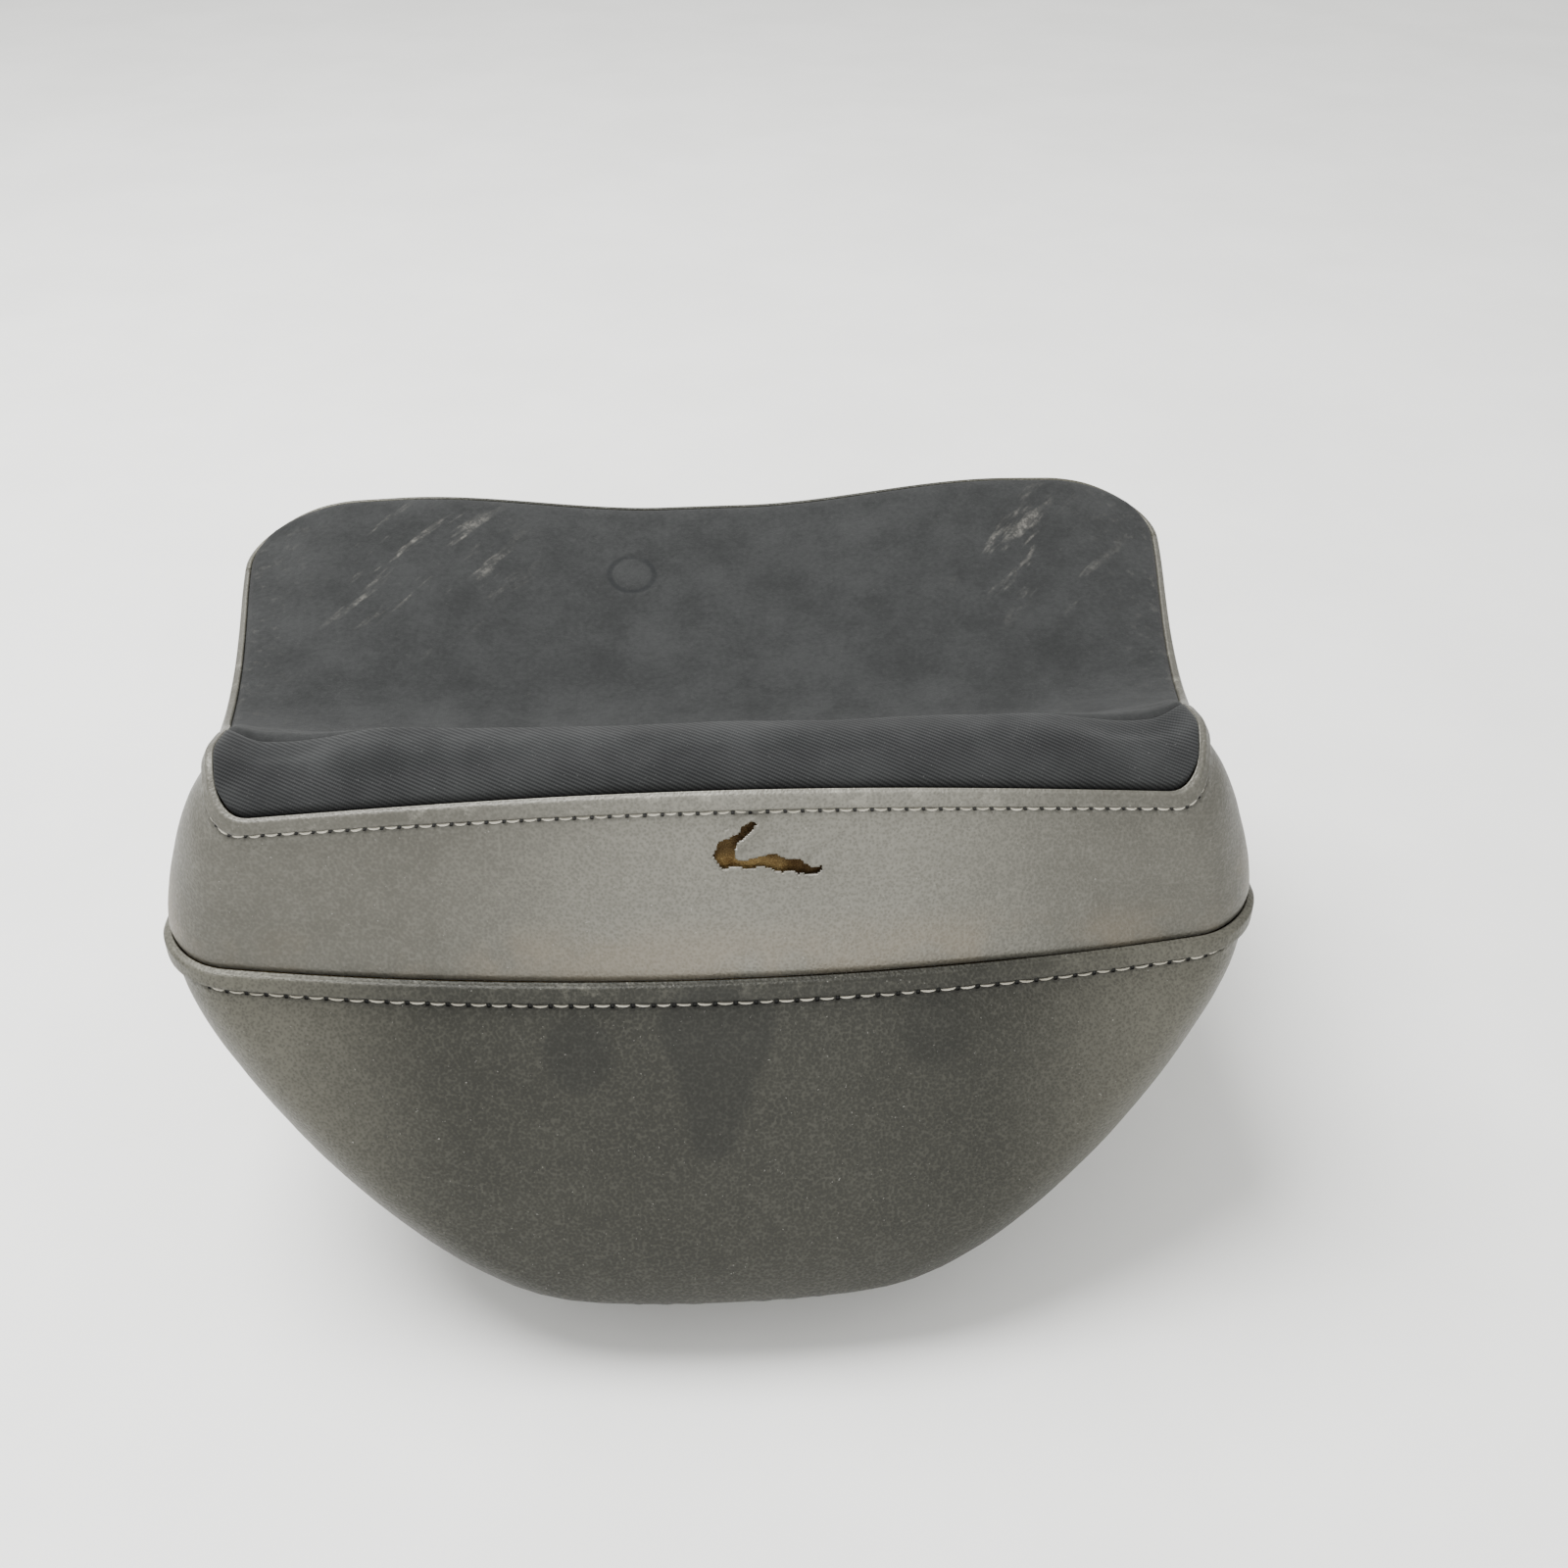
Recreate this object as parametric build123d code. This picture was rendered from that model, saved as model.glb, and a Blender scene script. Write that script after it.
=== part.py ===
from build123d import *
import math
import os

# Motorcycle pillion seat: a deep foam seat on a moulded base pan, trimmed in sewn
# cover panels, carried by a front hinge and held shut by a striker loop at the rear.
# Millimetres. +Z up, -Y is the front face of the seat. Left is -X and right is +X, as
# seen from the front. The rubber bumpers and the hinge leaf stand on Z = 0.

# ---- driving dimensions ---------------------------------------------------------
COVER = 1.6            # thickness of the sewn cover
PAN_WALL = 3.2         # thickness of the moulded base pan
PAN_BOTTOM = 28.0      # underside of the pan above the mounting plane
PAN_TOP = 74.0         # upper edge of the pan's wall
BELT_Z = 145.0         # seam between the bands and the skirts
HEM_WIDTH = 22.0       # cover turned in under the pan
MIDDLE_Y = 7.0         # where the front and rear halves of every outline meet

BUMPER_X, BUMPER_FRONT_Y, BUMPER_REAR_Y = 57.0, -80.0, 58.0
BUMPER_R, STEM_R = 14.0, 5.0

HINGE_Y, HINGE_Z = -104.0, 12.0
PIN_R = 3.5
EAR_R = 8.0
SHEET = 3.0                     # steel sheet of the brackets
FRAME_EAR_X = 25.0              # inner face of the frame bracket's ears
SEAT_EAR_X = 29.6               # inner face of the seat bracket's ears
RUNNING = 0.05                  # radial clearance of the pin in its bushes
BOLT_X, BOLT_Y = 32.0, 24.0     # spacing of the frame bolts
BOLT_MID_Y, BOLT_R = -78.0, 3.3

STRIKER_Y, STRIKER_HALF, STRIKER_LOW, WIRE_R = 74.0, 16.0, 7.0, 4.0

SCREW_R, INSERT_R, BOSS_R, BOSS_TOP = 3.0, 4.2, 8.5, 40.0
HINGE_SCREWS = [(x, y) for x in (-20.0, 20.0) for y in (-47.0, -29.0)]
SEAT_PLATE = (-84.0, -19.0)    # front and rear edges of the seat bracket's plate
LEAF_END_Y = -58.0             # rear edge of the frame bracket
STRIKER_SCREWS = [(-32.0, STRIKER_Y), (32.0, STRIKER_Y)]
BUMPERS = {
    "bumper_front_left": (-BUMPER_X, BUMPER_FRONT_Y),
    "bumper_front_right": (BUMPER_X, BUMPER_FRONT_Y),
    "bumper_rear_left": (-BUMPER_X, BUMPER_REAR_Y),
    "bumper_rear_right": (BUMPER_X, BUMPER_REAR_Y),
}
BOSSES = HINGE_SCREWS + STRIKER_SCREWS + list(BUMPERS.values())

# Outline of the seat at each height: half width, front y, how far the front bows
# forward in the middle, rear y, front and rear corner radii, how much the sides
# spread towards the rear, and how much they pull in at the waist.
LEVELS = [
    # z,    half,  front,  bow,   rear, r_front, r_rear, flare, waist
    (28.0, 104.0, -140.0, 10.0, 116.0, 72.0, 66.0, 0.000, 0.000),
    (36.0, 119.0, -144.0, 13.0, 124.0, 66.0, 60.0, 0.000, 0.000),
    (60.0, 143.0, -139.0, 19.0, 135.0, 50.0, 48.0, 0.000, 0.000),
    (90.0, 165.0, -125.0, 19.0, 141.0, 38.0, 38.0, 0.000, 0.000),
    (120.0, 181.0, -110.0, 18.0, 144.0, 29.0, 32.0, 0.000, 0.000),
    (145.0, 188.0, -96.0, 17.0, 144.0, 24.0, 30.0, 0.000, 0.000),
    (175.0, 181.5, -83.5, 14.0, 141.0, 22.0, 28.0, 0.035, 0.015),
    (205.0, 167.0, -74.5, 10.0, 135.0, 22.0, 26.0, 0.120, 0.040),
    (240.0, 150.0, -64.0, 6.0, 128.0, 22.0, 24.0, 0.200, 0.055),
]

# Height of the deck along the seat's centre line, from the front edge over the
# raised roll, down into the dish and up to the rear.
PROFILE = [
    (-105.0, 168.0), (-93.0, 184.0), (-75.0, 206.0), (-61.0, 216.0), (-44.0, 211.0),
    (-26.0, 192.0), (-8.0, 178.0), (22.0, 172.0), (62.0, 178.0), (92.0, 186.0),
    (117.0, 193.0), (132.0, 196.0), (150.0, 198.0),
]
DECK_HALF = 170.0      # half width that the deck's cross curves are given on
REAR_BOW = 6.0         # how far the rear bows back in the middle

# Where the outline's points lie: corners as side, end, turn, then fractions between
CORNERS = [(1, 1, "rear", 0), (-1, 1, "rear", 90), (-1, -1, "front", 180), (1, -1, "front", 270)]
ACROSS = (0.72, 0.38, 0.0, -0.38, -0.72)
ALONG = (0.08, 0.18, 0.30, 0.44, 0.62, 0.80, 0.92)
N_ACROSS, N_ALONG = len(ACROSS) + 3, len(ALONG) + 3
# The grid's four corners are the middles of the rounded corners
REAR_START = 1
LEFT_START = REAR_START + N_ACROSS
FRONT_START = LEFT_START + N_ALONG
RIGHT_START = FRONT_START + N_ACROSS
STRIP_ROWS = 4         # rows of the deck grid in the roll strip
CORNER_COLUMNS = 3     # columns of the sides that the front panels take past each corner
LOW_LEVELS = (38.0, 54.0, PAN_TOP, 108.0, BELT_Z)


# ---- shape of the cushion -------------------------------------------------------
def ease(v, start, end):
    """0 before start, 1 after end, and a smooth rise between them."""
    t = min(1.0, max(0.0, (v - start) / (end - start)))
    return t * t * (3.0 - 2.0 * t)


def curve(pts, v):
    """Cubic curve through points (v, value)."""
    v = min(pts[-1][0], max(pts[0][0], v))
    i = min(len(pts) - 2, max(k for k in range(len(pts)) if pts[k][0] <= v))

    def slope(k):
        lo, hi = max(0, k - 1), min(len(pts) - 1, k + 1)
        return (pts[hi][1] - pts[lo][1]) / (pts[hi][0] - pts[lo][0])

    (v0, a0), (v1, a1) = pts[i], pts[i + 1]
    h = v1 - v0
    t = (v - v0) / h
    b0, b1 = slope(i) * h, slope(i + 1) * h
    return ((2 * t**3 - 3 * t**2 + 1) * a0 + (t**3 - 2 * t**2 + t) * b0
            + (3 * t**2 - 2 * t**3) * a1 + (t**3 - t**2) * b1)


def deck_height(x, y):
    """Height of the deck: the centre line's profile, bent across the seat."""
    u = abs(x) / DECK_HALF
    along = y - 13.0 * u**2 * (1.0 - ease(y, -68.0, 52.0))
    front = 1.0 - ease(along, -53.0, -13.0)
    rear = ease(along, 2.0, 122.0)
    middle = (1.0 - front) * (1.0 - rear)
    return (curve(PROFILE, along) - 7.0 * front * u**2 + 9.0 * middle * u**2
            + rear * (12.0 * ease(u, 0.1, 0.75) - 10.0 * ease(u, 0.85, 1.15)))


def level_at(z):
    """Outline values at any height, by a cubic curve through the levels."""
    return [curve([(level[0], level[k]) for level in LEVELS], z) for k in range(1, len(LEVELS[0]))]


def outline(z, inset):
    """Points round the seat at one height: each side bowed and each corner rounded."""
    half, front, bow, rear, r_front, r_rear, flare, waist = level_at(z)
    half, front, rear = half - inset, front + inset, rear - inset
    r_front, r_rear = r_front - inset, r_rear - inset
    points = []
    for sx, sy, end, turn in CORNERS:
        radius = r_rear if end == "rear" else r_front
        cx, cy = sx * (half - radius), (rear if sy > 0 else front) - sy * radius
        arc = [(cx + radius * math.cos(math.radians(turn + a)),
                cy + radius * math.sin(math.radians(turn + a))) for a in (0, 45, 90)]
        points += arc
        if turn in (0, 180):
            points += [(cx * k, rear if sy > 0 else front) for k in ACROSS]
        else:
            y_start, y_end = front + r_front, rear - r_rear
            along = [y_start + (y_end - y_start) * k for k in ALONG]
            points += [(sx * half, y) for y in (reversed(along) if sx < 0 else along)]
    shaped = []
    for x, y in points:
        pull = bow * (x / half)**2 * ease(MIDDLE_Y - y, 0.0, MIDDLE_Y - front)
        bulge = REAR_BOW * (x / half)**2 * ease(y - MIDDLE_Y, 0.0, rear - MIDDLE_Y)
        spread = flare * ease(y, 12.0, 122.0) - waist * math.exp(-((y + 3.0) / 45.0)**2)
        shaped.append((x * (1.0 + spread), y + pull - bulge))
    return shaped


def ring(z, inset):
    """Outline as points in space."""
    return [Vector(x, y, z) for x, y in outline(z, inset)]


def edge_ring(drop):
    """Where the sides meet the deck, with sides and deck both moved in by drop."""
    count = len(outline(BELT_Z, 0.0))
    found = []
    for i in range(count):
        low, high = BELT_Z, LEVELS[-1][0]
        for _ in range(30):
            z = (low + high) / 2
            x, y = outline(z, drop)[i]
            low, high = (z, high) if deck_height(x, y) - drop > z else (low, z)
        found.append(Vector(x, y, z))
    return found


# ---- faceted solids -------------------------------------------------------------
def quad(a, b, c, d):
    """Two flat triangles across four points."""
    return [Face(Wire.make_polygon(t, close=True)) for t in ((a, b, c), (a, c, d))]


def strip(lower, upper, closed):
    """Facets between two rows of points."""
    n = len(lower)
    ends = range(n if closed else n - 1)
    return [f for i in ends for f in quad(lower[i], lower[(i + 1) % n], upper[(i + 1) % n], upper[i])]


def flat(row):
    """One flat face inside a closed row of points."""
    return Face(Wire.make_polygon(row, close=True))


def panel(outer, inner):
    """Cover panel between two grids of points, closed round its border."""
    faces = []
    for grid in (outer, inner):
        for lower, upper in zip(grid, grid[1:]):
            faces += strip(lower, upper, False)
    for k in (0, -1):
        faces += strip(outer[k], inner[k], False)
        faces += strip([row[k] for row in outer], [row[k] for row in inner], False)
    return Solid(Shell(faces))


def pick(points, start, stop):
    """Points from start to stop round a closed row."""
    return [points[i % len(points)] for i in range(start, stop + 1)]


def deck_grid(edge, drop):
    """Grid of deck points inside an edge ring, rows from the front to the rear."""
    front = pick(edge, FRONT_START, FRONT_START + N_ACROSS)
    right = pick(edge, RIGHT_START, RIGHT_START + N_ALONG)
    rear = pick(edge, REAR_START, REAR_START + N_ACROSS)[::-1]
    left = pick(edge, LEFT_START, LEFT_START + N_ALONG)[::-1]
    rows = []
    for j in range(N_ALONG + 1):
        row = []
        for i in range(N_ACROSS + 1):
            if j in (0, N_ALONG):
                row.append(front[i] if j == 0 else rear[i])
                continue
            if i in (0, N_ACROSS):
                row.append(left[j] if i == 0 else right[j])
                continue
            u, v = i / N_ACROSS, j / N_ALONG
            sides = left[j] * (1 - u) + right[j] * u
            ends = front[i] * (1 - v) + rear[i] * v
            front_line = front[0] * (1 - u) + front[-1] * u
            rear_line = rear[0] * (1 - u) + rear[-1] * u
            p = sides + ends - front_line * (1 - v) - rear_line * v
            row.append(Vector(p.X, p.Y, deck_height(p.X, p.Y) - drop))
        rows.append(row)
    return rows


def slab(x0, x1, y0, y1, z0, z1):
    """Box between two corners."""
    return Pos((x0 + x1) / 2, (y0 + y1) / 2, (z0 + z1) / 2) * Box(x1 - x0, y1 - y0, z1 - z0)


def rod(x, y, z0, z1, r):
    """Upright cylinder."""
    return Pos(x, y, (z0 + z1) / 2) * Cylinder(r, z1 - z0)


def cross_rod(x0, x1, r):
    """Cylinder along X on the hinge's axis."""
    return Pos((x0 + x1) / 2, HINGE_Y, HINGE_Z) * Rot(0, 90, 0) * Cylinder(r, x1 - x0)


# ---- cushion, pan and cover -----------------------------------------------------
def make_cover():
    """The nine sewn panels of the cover."""
    def wall(inset):
        turned_in = ring(PAN_BOTTOM, HEM_WIDTH)
        rows = [[Vector(p.X, p.Y, PAN_BOTTOM - (0.0 if inset else COVER)) for p in turned_in]]
        rows += [[Vector(p.X, p.Y, PAN_BOTTOM - (0.0 if inset else COVER)) for p in ring(PAN_BOTTOM, inset)]]
        return rows + [ring(z, inset) for z in LOW_LEVELS] + [edge_ring(inset)]

    outer, inner = wall(0.0), wall(COVER)
    belt = len(outer) - 2

    def side_panel(first_row, last_row, start, stop):
        return panel([pick(row, start, stop) for row in outer[first_row:last_row + 1]],
                     [pick(row, start, stop) for row in inner[first_row:last_row + 1]])

    deck_out, deck_in = deck_grid(outer[-1], 0.0), deck_grid(inner[-1], COVER)
    front = (FRONT_START - CORNER_COLUMNS, RIGHT_START + CORNER_COLUMNS)
    right = (RIGHT_START + CORNER_COLUMNS, RIGHT_START + N_ALONG - 1)
    left = (LEFT_START + 1, FRONT_START - CORNER_COLUMNS)
    return {
        "roll_strip": panel(deck_out[:STRIP_ROWS + 1], deck_in[:STRIP_ROWS + 1]),
        "deck_panel": panel(deck_out[STRIP_ROWS:], deck_in[STRIP_ROWS:]),
        "front_band": side_panel(belt, belt + 1, *front),
        "front_skirt": side_panel(0, belt, *front),
        "side_band_left": side_panel(belt, belt + 1, *left),
        "side_band_right": side_panel(belt, belt + 1, *right),
        "side_skirt_left": side_panel(0, belt, *left),
        "side_skirt_right": side_panel(0, belt, *right),
        "rear_panel": side_panel(0, belt + 1, REAR_START - 1, LEFT_START + 1),
    }


def make_pan():
    """Moulded tub with bosses for the inserts and the bumpers, and ribs below."""
    heights = [z for z in LOW_LEVELS if z <= PAN_TOP]
    outside = [ring(PAN_BOTTOM, COVER)] + [ring(z, COVER) for z in heights]
    inside = [ring(PAN_BOTTOM + PAN_WALL, COVER + PAN_WALL)] + [ring(z, COVER + PAN_WALL) for z in heights]
    faces = [flat(outside[0]), flat(inside[0])] + strip(outside[-1], inside[-1], True)
    for rows in (outside, inside):
        for lower, upper in zip(rows, rows[1:]):
            faces += strip(lower, upper, True)
    pan = Solid(Shell(faces))
    for x, y in BOSSES:
        pan += rod(x, y, PAN_BOTTOM + PAN_WALL, BOSS_TOP, BOSS_R)
    for x, y in HINGE_SCREWS + STRIKER_SCREWS:
        pan -= rod(x, y, PAN_BOTTOM - 1, BOSS_TOP - 2, INSERT_R)
    for x, y in BUMPERS.values():
        pan -= rod(x, y, PAN_BOTTOM - 1, BOSS_TOP - 2, STEM_R)
    for rib in make_ribs():
        pan += rib
    return pan


def make_foam():
    """Moulded foam that fills the pan and the cover."""
    inside = COVER + PAN_WALL
    rows = [ring(PAN_BOTTOM + PAN_WALL, inside)] + [ring(z, inside) for z in LOW_LEVELS if z <= PAN_TOP]
    rows += [ring(z, COVER) for z in LOW_LEVELS if z >= PAN_TOP] + [edge_ring(COVER)]
    faces = [flat(rows[0])]
    for lower, upper in zip(rows, rows[1:]):
        faces += strip(lower, upper, True)
    grid = deck_grid(rows[-1], COVER)
    for lower, upper in zip(grid, grid[1:]):
        faces += strip(lower, upper, False)
    foam = Solid(Shell(faces))
    for x, y in BOSSES:
        foam -= rod(x, y, PAN_BOTTOM + PAN_WALL, BOSS_TOP, BOSS_R)
    return foam


def make_ribs():
    """Stiffening ribs under the pan, clear of the fittings and of the hem."""
    rib, depth = 2.6, 7.0
    z0 = PAN_BOTTOM - depth
    ribs = [slab(x - rib / 2, x + rib / 2, -12, 56, z0, PAN_BOTTOM) for x in (-36, -14, 14, 36)]
    ribs += [slab(-36, 36, y - rib / 2, y + rib / 2, z0, PAN_BOTTOM) for y in (-11, 11, 33, 55)]
    return ribs


def make_staples():
    """Wire staples that hold the hem up to the pan."""
    crown, wire, leg = 10.0, 1.0, 4.0
    z_crown = PAN_BOTTOM - COVER - wire
    line = Wire.make_polygon([Vector(x, y, 0) for x, y in outline(PAN_BOTTOM, HEM_WIDTH - 8)], close=True)
    count = 36
    staples = []
    for i in range(count):
        p = line.position_at((i + 0.5) / count)
        heading = line.tangent_at((i + 0.5) / count)
        angle = math.degrees(math.atan2(heading.Y, heading.X))
        body = slab(-crown / 2, crown / 2, -wire / 2, wire / 2, z_crown, z_crown + wire)
        for x in (-1, 1):
            cx = x * (crown - wire) / 2
            body += slab(cx - wire / 2, cx + wire / 2, -wire / 2, wire / 2, z_crown, z_crown + COVER + leg)
        staples.append(Pos(p.X, p.Y, 0) * Rot(0, 0, angle) * body)
    return staples


# ---- fittings under the pan -----------------------------------------------------
def make_bumper(x, y):
    """Rubber bumper: a cone on the floor, a flange on the pan and a stem in its boss."""
    cone = Pos(x, y, 0) * Solid.make_cone(BUMPER_R - 4, BUMPER_R - 1, PAN_BOTTOM - 5)
    flange = rod(x, y, PAN_BOTTOM - 5, PAN_BOTTOM, BUMPER_R + 2)
    stem = rod(x, y, PAN_BOTTOM, BOSS_TOP - 2, STEM_R)
    groove = rod(x, y, 9, 12, BUMPER_R + 4) - rod(x, y, 9, 12, BUMPER_R - 4)
    socket = rod(x, y, 0, 4, 4.0)
    return cone + flange + stem - groove - socket


def hex_screw(x, y, z_under, grip):
    """Flanged hex screw, driven upwards from under a plate."""
    head = extrude(Pos(x, y, z_under - 5.5) * RegularPolygon(5.0, 6), amount=4.3)
    flange = rod(x, y, z_under - 1.4, z_under, 6.6)
    shank = rod(x, y, z_under, z_under + grip, SCREW_R)
    return head + flange + shank


def insert(x, y):
    """Brass insert moulded into a boss."""
    return rod(x, y, PAN_BOTTOM, BOSS_TOP - 2, INSERT_R) - rod(x, y, PAN_BOTTOM, BOSS_TOP - 2, SCREW_R)


def ear(x_inner, plate_y0, plate_y1, plate_z):
    """Sheet ear from a plate to the pin, in the plane across X."""
    face = make_hull([
        *(Pos(HINGE_Y, HINGE_Z) * Circle(EAR_R)).edges(),
        *(Pos((plate_y0 + plate_y1) / 2, plate_z) * Rectangle(plate_y1 - plate_y0, 0.4)).edges(),
    ])
    plane = Plane(origin=(x_inner, 0, 0), x_dir=(0, 1, 0), z_dir=(1, 0, 0))
    return extrude(plane * face, amount=SHEET)


def make_hinge():
    """Both brackets, the pin and what rides on it."""
    plate_z = PAN_BOTTOM - SHEET
    seat = slab(-37, 37, *SEAT_PLATE, plate_z, PAN_BOTTOM)
    seat = fillet(seat.edges().filter_by(Axis.Z), 8)
    for x in (SEAT_EAR_X, -SEAT_EAR_X - SHEET):
        seat += ear(x, SEAT_PLATE[0], SEAT_PLATE[0] + 22, plate_z + 0.2)
    seat -= cross_rod(-60, 60, 5.0)
    for x, y in HINGE_SCREWS:
        seat -= rod(x, y, plate_z - 1, PAN_BOTTOM + 1, SCREW_R)

    frame = slab(-38, 38, HINGE_Y - EAR_R, LEAF_END_Y, 0, SHEET)
    frame = fillet(frame.edges().filter_by(Axis.Z), 7)
    for x in (FRAME_EAR_X, -FRAME_EAR_X - SHEET):
        frame += ear(x, HINGE_Y - EAR_R, HINGE_Y + 12, SHEET - 0.2)
    frame -= cross_rod(-60, 60, PIN_R)
    for sx in (-1, 1):
        for sy in (-1, 1):
            frame -= rod(sx * BOLT_X / 2, BOLT_MID_Y + sy * BOLT_Y / 2, -1, SHEET + 1, BOLT_R)

    outer_face = SEAT_EAR_X + SHEET
    pin = cross_rod(-outer_face - 5.5, outer_face + 0.5, PIN_R)
    pin += cross_rod(outer_face + 0.5, outer_face + 3.5, 6.0)
    groove_x = -outer_face - 3.0
    pin -= cross_rod(groove_x - 1.2, groove_x, PIN_R + 2) - cross_rod(groove_x - 1.2, groove_x, PIN_R - 1)
    bushes = []
    for s in (-1, 1):
        x_in, x_out = sorted((s * SEAT_EAR_X, s * outer_face))
        flange = sorted((s * (SEAT_EAR_X - 1.3), s * SEAT_EAR_X))
        bush = cross_rod(x_in, x_out, 5.0) + cross_rod(*flange, 7.4)
        bushes.append(bush - cross_rod(-60, 60, PIN_R + RUNNING))
    washer = cross_rod(groove_x, groove_x + 1.5, 7.0) - cross_rod(-60, 60, PIN_R + 0.1)
    clip = cross_rod(groove_x - 1.1, groove_x - 0.1, 6.4) - cross_rod(-60, 60, PIN_R - 0.9)
    clip -= slab(groove_x - 2, groove_x, HINGE_Y - 2.4, HINGE_Y + 2.4, HINGE_Z, HINGE_Z + 9)
    screws = [hex_screw(x, y, plate_z, SHEET + 9) for x, y in HINGE_SCREWS]
    inserts = [insert(x, y) for x, y in HINGE_SCREWS]
    return {
        "hinge_seat_bracket": seat, "hinge_frame_bracket": frame, "hinge_pin": pin,
        "hinge_bushes": bushes, "hinge_washer": washer, "hinge_clip": clip,
        "hinge_screws": screws, "hinge_inserts": inserts,
    }


def make_striker():
    """Wire loop that the seat lock grips, welded to its plate."""
    plate_z = PAN_BOTTOM - SHEET
    plate = slab(-42, 42, STRIKER_Y - 12, STRIKER_Y + 12, plate_z, PAN_BOTTOM)
    plate = fillet(plate.edges().filter_by(Axis.Z), 8)
    for x, y in STRIKER_SCREWS:
        plate -= rod(x, y, plate_z - 1, PAN_BOTTOM + 1, SCREW_R)
    path = FilletPolyline(
        (-STRIKER_HALF, STRIKER_Y, plate_z), (-STRIKER_HALF, STRIKER_Y, STRIKER_LOW),
        (STRIKER_HALF, STRIKER_Y, STRIKER_LOW), (STRIKER_HALF, STRIKER_Y, plate_z), radius=8)
    section = Plane(origin=(-STRIKER_HALF, STRIKER_Y, plate_z), z_dir=(0, 0, -1)) * Circle(WIRE_R)
    loop = sweep(section, path=path)
    screws = [hex_screw(x, y, plate_z, SHEET + 9) for x, y in STRIKER_SCREWS]
    inserts = [insert(x, y) for x, y in STRIKER_SCREWS]
    return {"striker_plate": plate, "striker_bar": loop, "striker_screws": screws,
            "striker_inserts": inserts}


# ---- write one file for each piece ----------------------------------------------
def save(name, shape):
    """Write a piece, or a group of identical pieces, to its own file."""
    items = shape if isinstance(shape, list) else [shape]
    solids = [s for item in items for s in item.solids()]
    export_step(Compound(children=solids) if len(solids) > 1 else solids[0], f"parts/{name}.step")


os.makedirs("parts", exist_ok=True)
pieces = make_cover()
pieces["base_pan"] = make_pan()
pieces["foam_core"] = make_foam()
pieces["cover_staples"] = make_staples()
for name, (x, y) in BUMPERS.items():
    pieces[name] = make_bumper(x, y)
pieces.update(make_hinge())
pieces.update(make_striker())
for name, shape in pieces.items():
    save(name, shape)
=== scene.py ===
"""Motorcycle pillion seat: sewn cover, foam, stitching and finishes round the CAD frame."""
import logging
import math
from dataclasses import dataclass, field
from enum import Enum
from typing import Callable, Optional, Sequence, Union

import bpy
import numpy as np
from mathutils import Matrix, Vector


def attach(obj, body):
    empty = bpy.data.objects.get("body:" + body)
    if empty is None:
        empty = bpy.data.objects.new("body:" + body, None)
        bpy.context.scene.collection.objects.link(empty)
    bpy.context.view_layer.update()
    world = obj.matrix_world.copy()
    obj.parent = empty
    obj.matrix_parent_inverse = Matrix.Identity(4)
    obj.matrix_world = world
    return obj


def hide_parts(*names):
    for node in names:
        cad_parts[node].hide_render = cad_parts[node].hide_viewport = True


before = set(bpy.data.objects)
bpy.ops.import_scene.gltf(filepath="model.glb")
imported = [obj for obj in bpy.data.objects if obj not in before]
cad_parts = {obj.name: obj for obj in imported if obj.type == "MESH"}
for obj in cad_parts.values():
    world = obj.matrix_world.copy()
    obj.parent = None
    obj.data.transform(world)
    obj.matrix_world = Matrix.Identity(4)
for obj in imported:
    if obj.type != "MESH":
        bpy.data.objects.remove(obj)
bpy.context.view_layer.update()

LOG = logging.getLogger("seat")
MM = 0.001
SEAT_BODY = "seat"


# ---- shader maths ---------------------------------------------------------------
Number = Union[float, int]


class Wire:
    """A shader socket that takes arithmetic, each operator adding one Math node."""

    def __init__(self, shader: "Shader", socket: bpy.types.NodeSocket) -> None:
        """Wrap a socket of a shader's tree."""
        self.shader = shader
        self.socket = socket

    def _math(self, kind: str, *values: Union["Wire", Number]) -> "Wire":
        """Add a Math node of one kind and return its value."""
        return self.shader.node("ShaderNodeMath", {"operation": kind}, dict(enumerate(values)))

    def __add__(self, other: Union["Wire", Number]) -> "Wire":
        """Sum."""
        return self._math("ADD", self, other)

    __radd__ = __add__

    def __sub__(self, other: Union["Wire", Number]) -> "Wire":
        """Difference."""
        return self._math("SUBTRACT", self, other)

    def __rsub__(self, other: Number) -> "Wire":
        """Reflected difference."""
        return self._math("SUBTRACT", other, self)

    def __mul__(self, other: Union["Wire", Number]) -> "Wire":
        """Product."""
        return self._math("MULTIPLY", self, other)

    __rmul__ = __mul__

    def power(self, exponent: float) -> "Wire":
        """Value raised to an exponent."""
        return self._math("POWER", self, exponent)

    def size(self) -> "Wire":
        """Value without its sign."""
        return self._math("ABSOLUTE", self)

    def wave(self) -> "Wire":
        """Sine of the value."""
        return self._math("SINE", self)

    def ramp(self, low: float, high: float) -> "Wire":
        """Smooth rise from 0 at low to 1 at high.

        Args:
            low: value where the rise starts, above high for a fall.
            high: value where it ends.
        Returns:
            The eased value.
        """
        settings = {"interpolation_type": "SMOOTHSTEP"}
        if low < high:
            return self.shader.node("ShaderNodeMapRange", settings, {0: self, 1: low, 2: high})
        return 1.0 - self.shader.node("ShaderNodeMapRange", settings, {0: self, 1: high, 2: low})


Value = Union[Wire, Number]
Colour = tuple[float, float, float]


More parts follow.
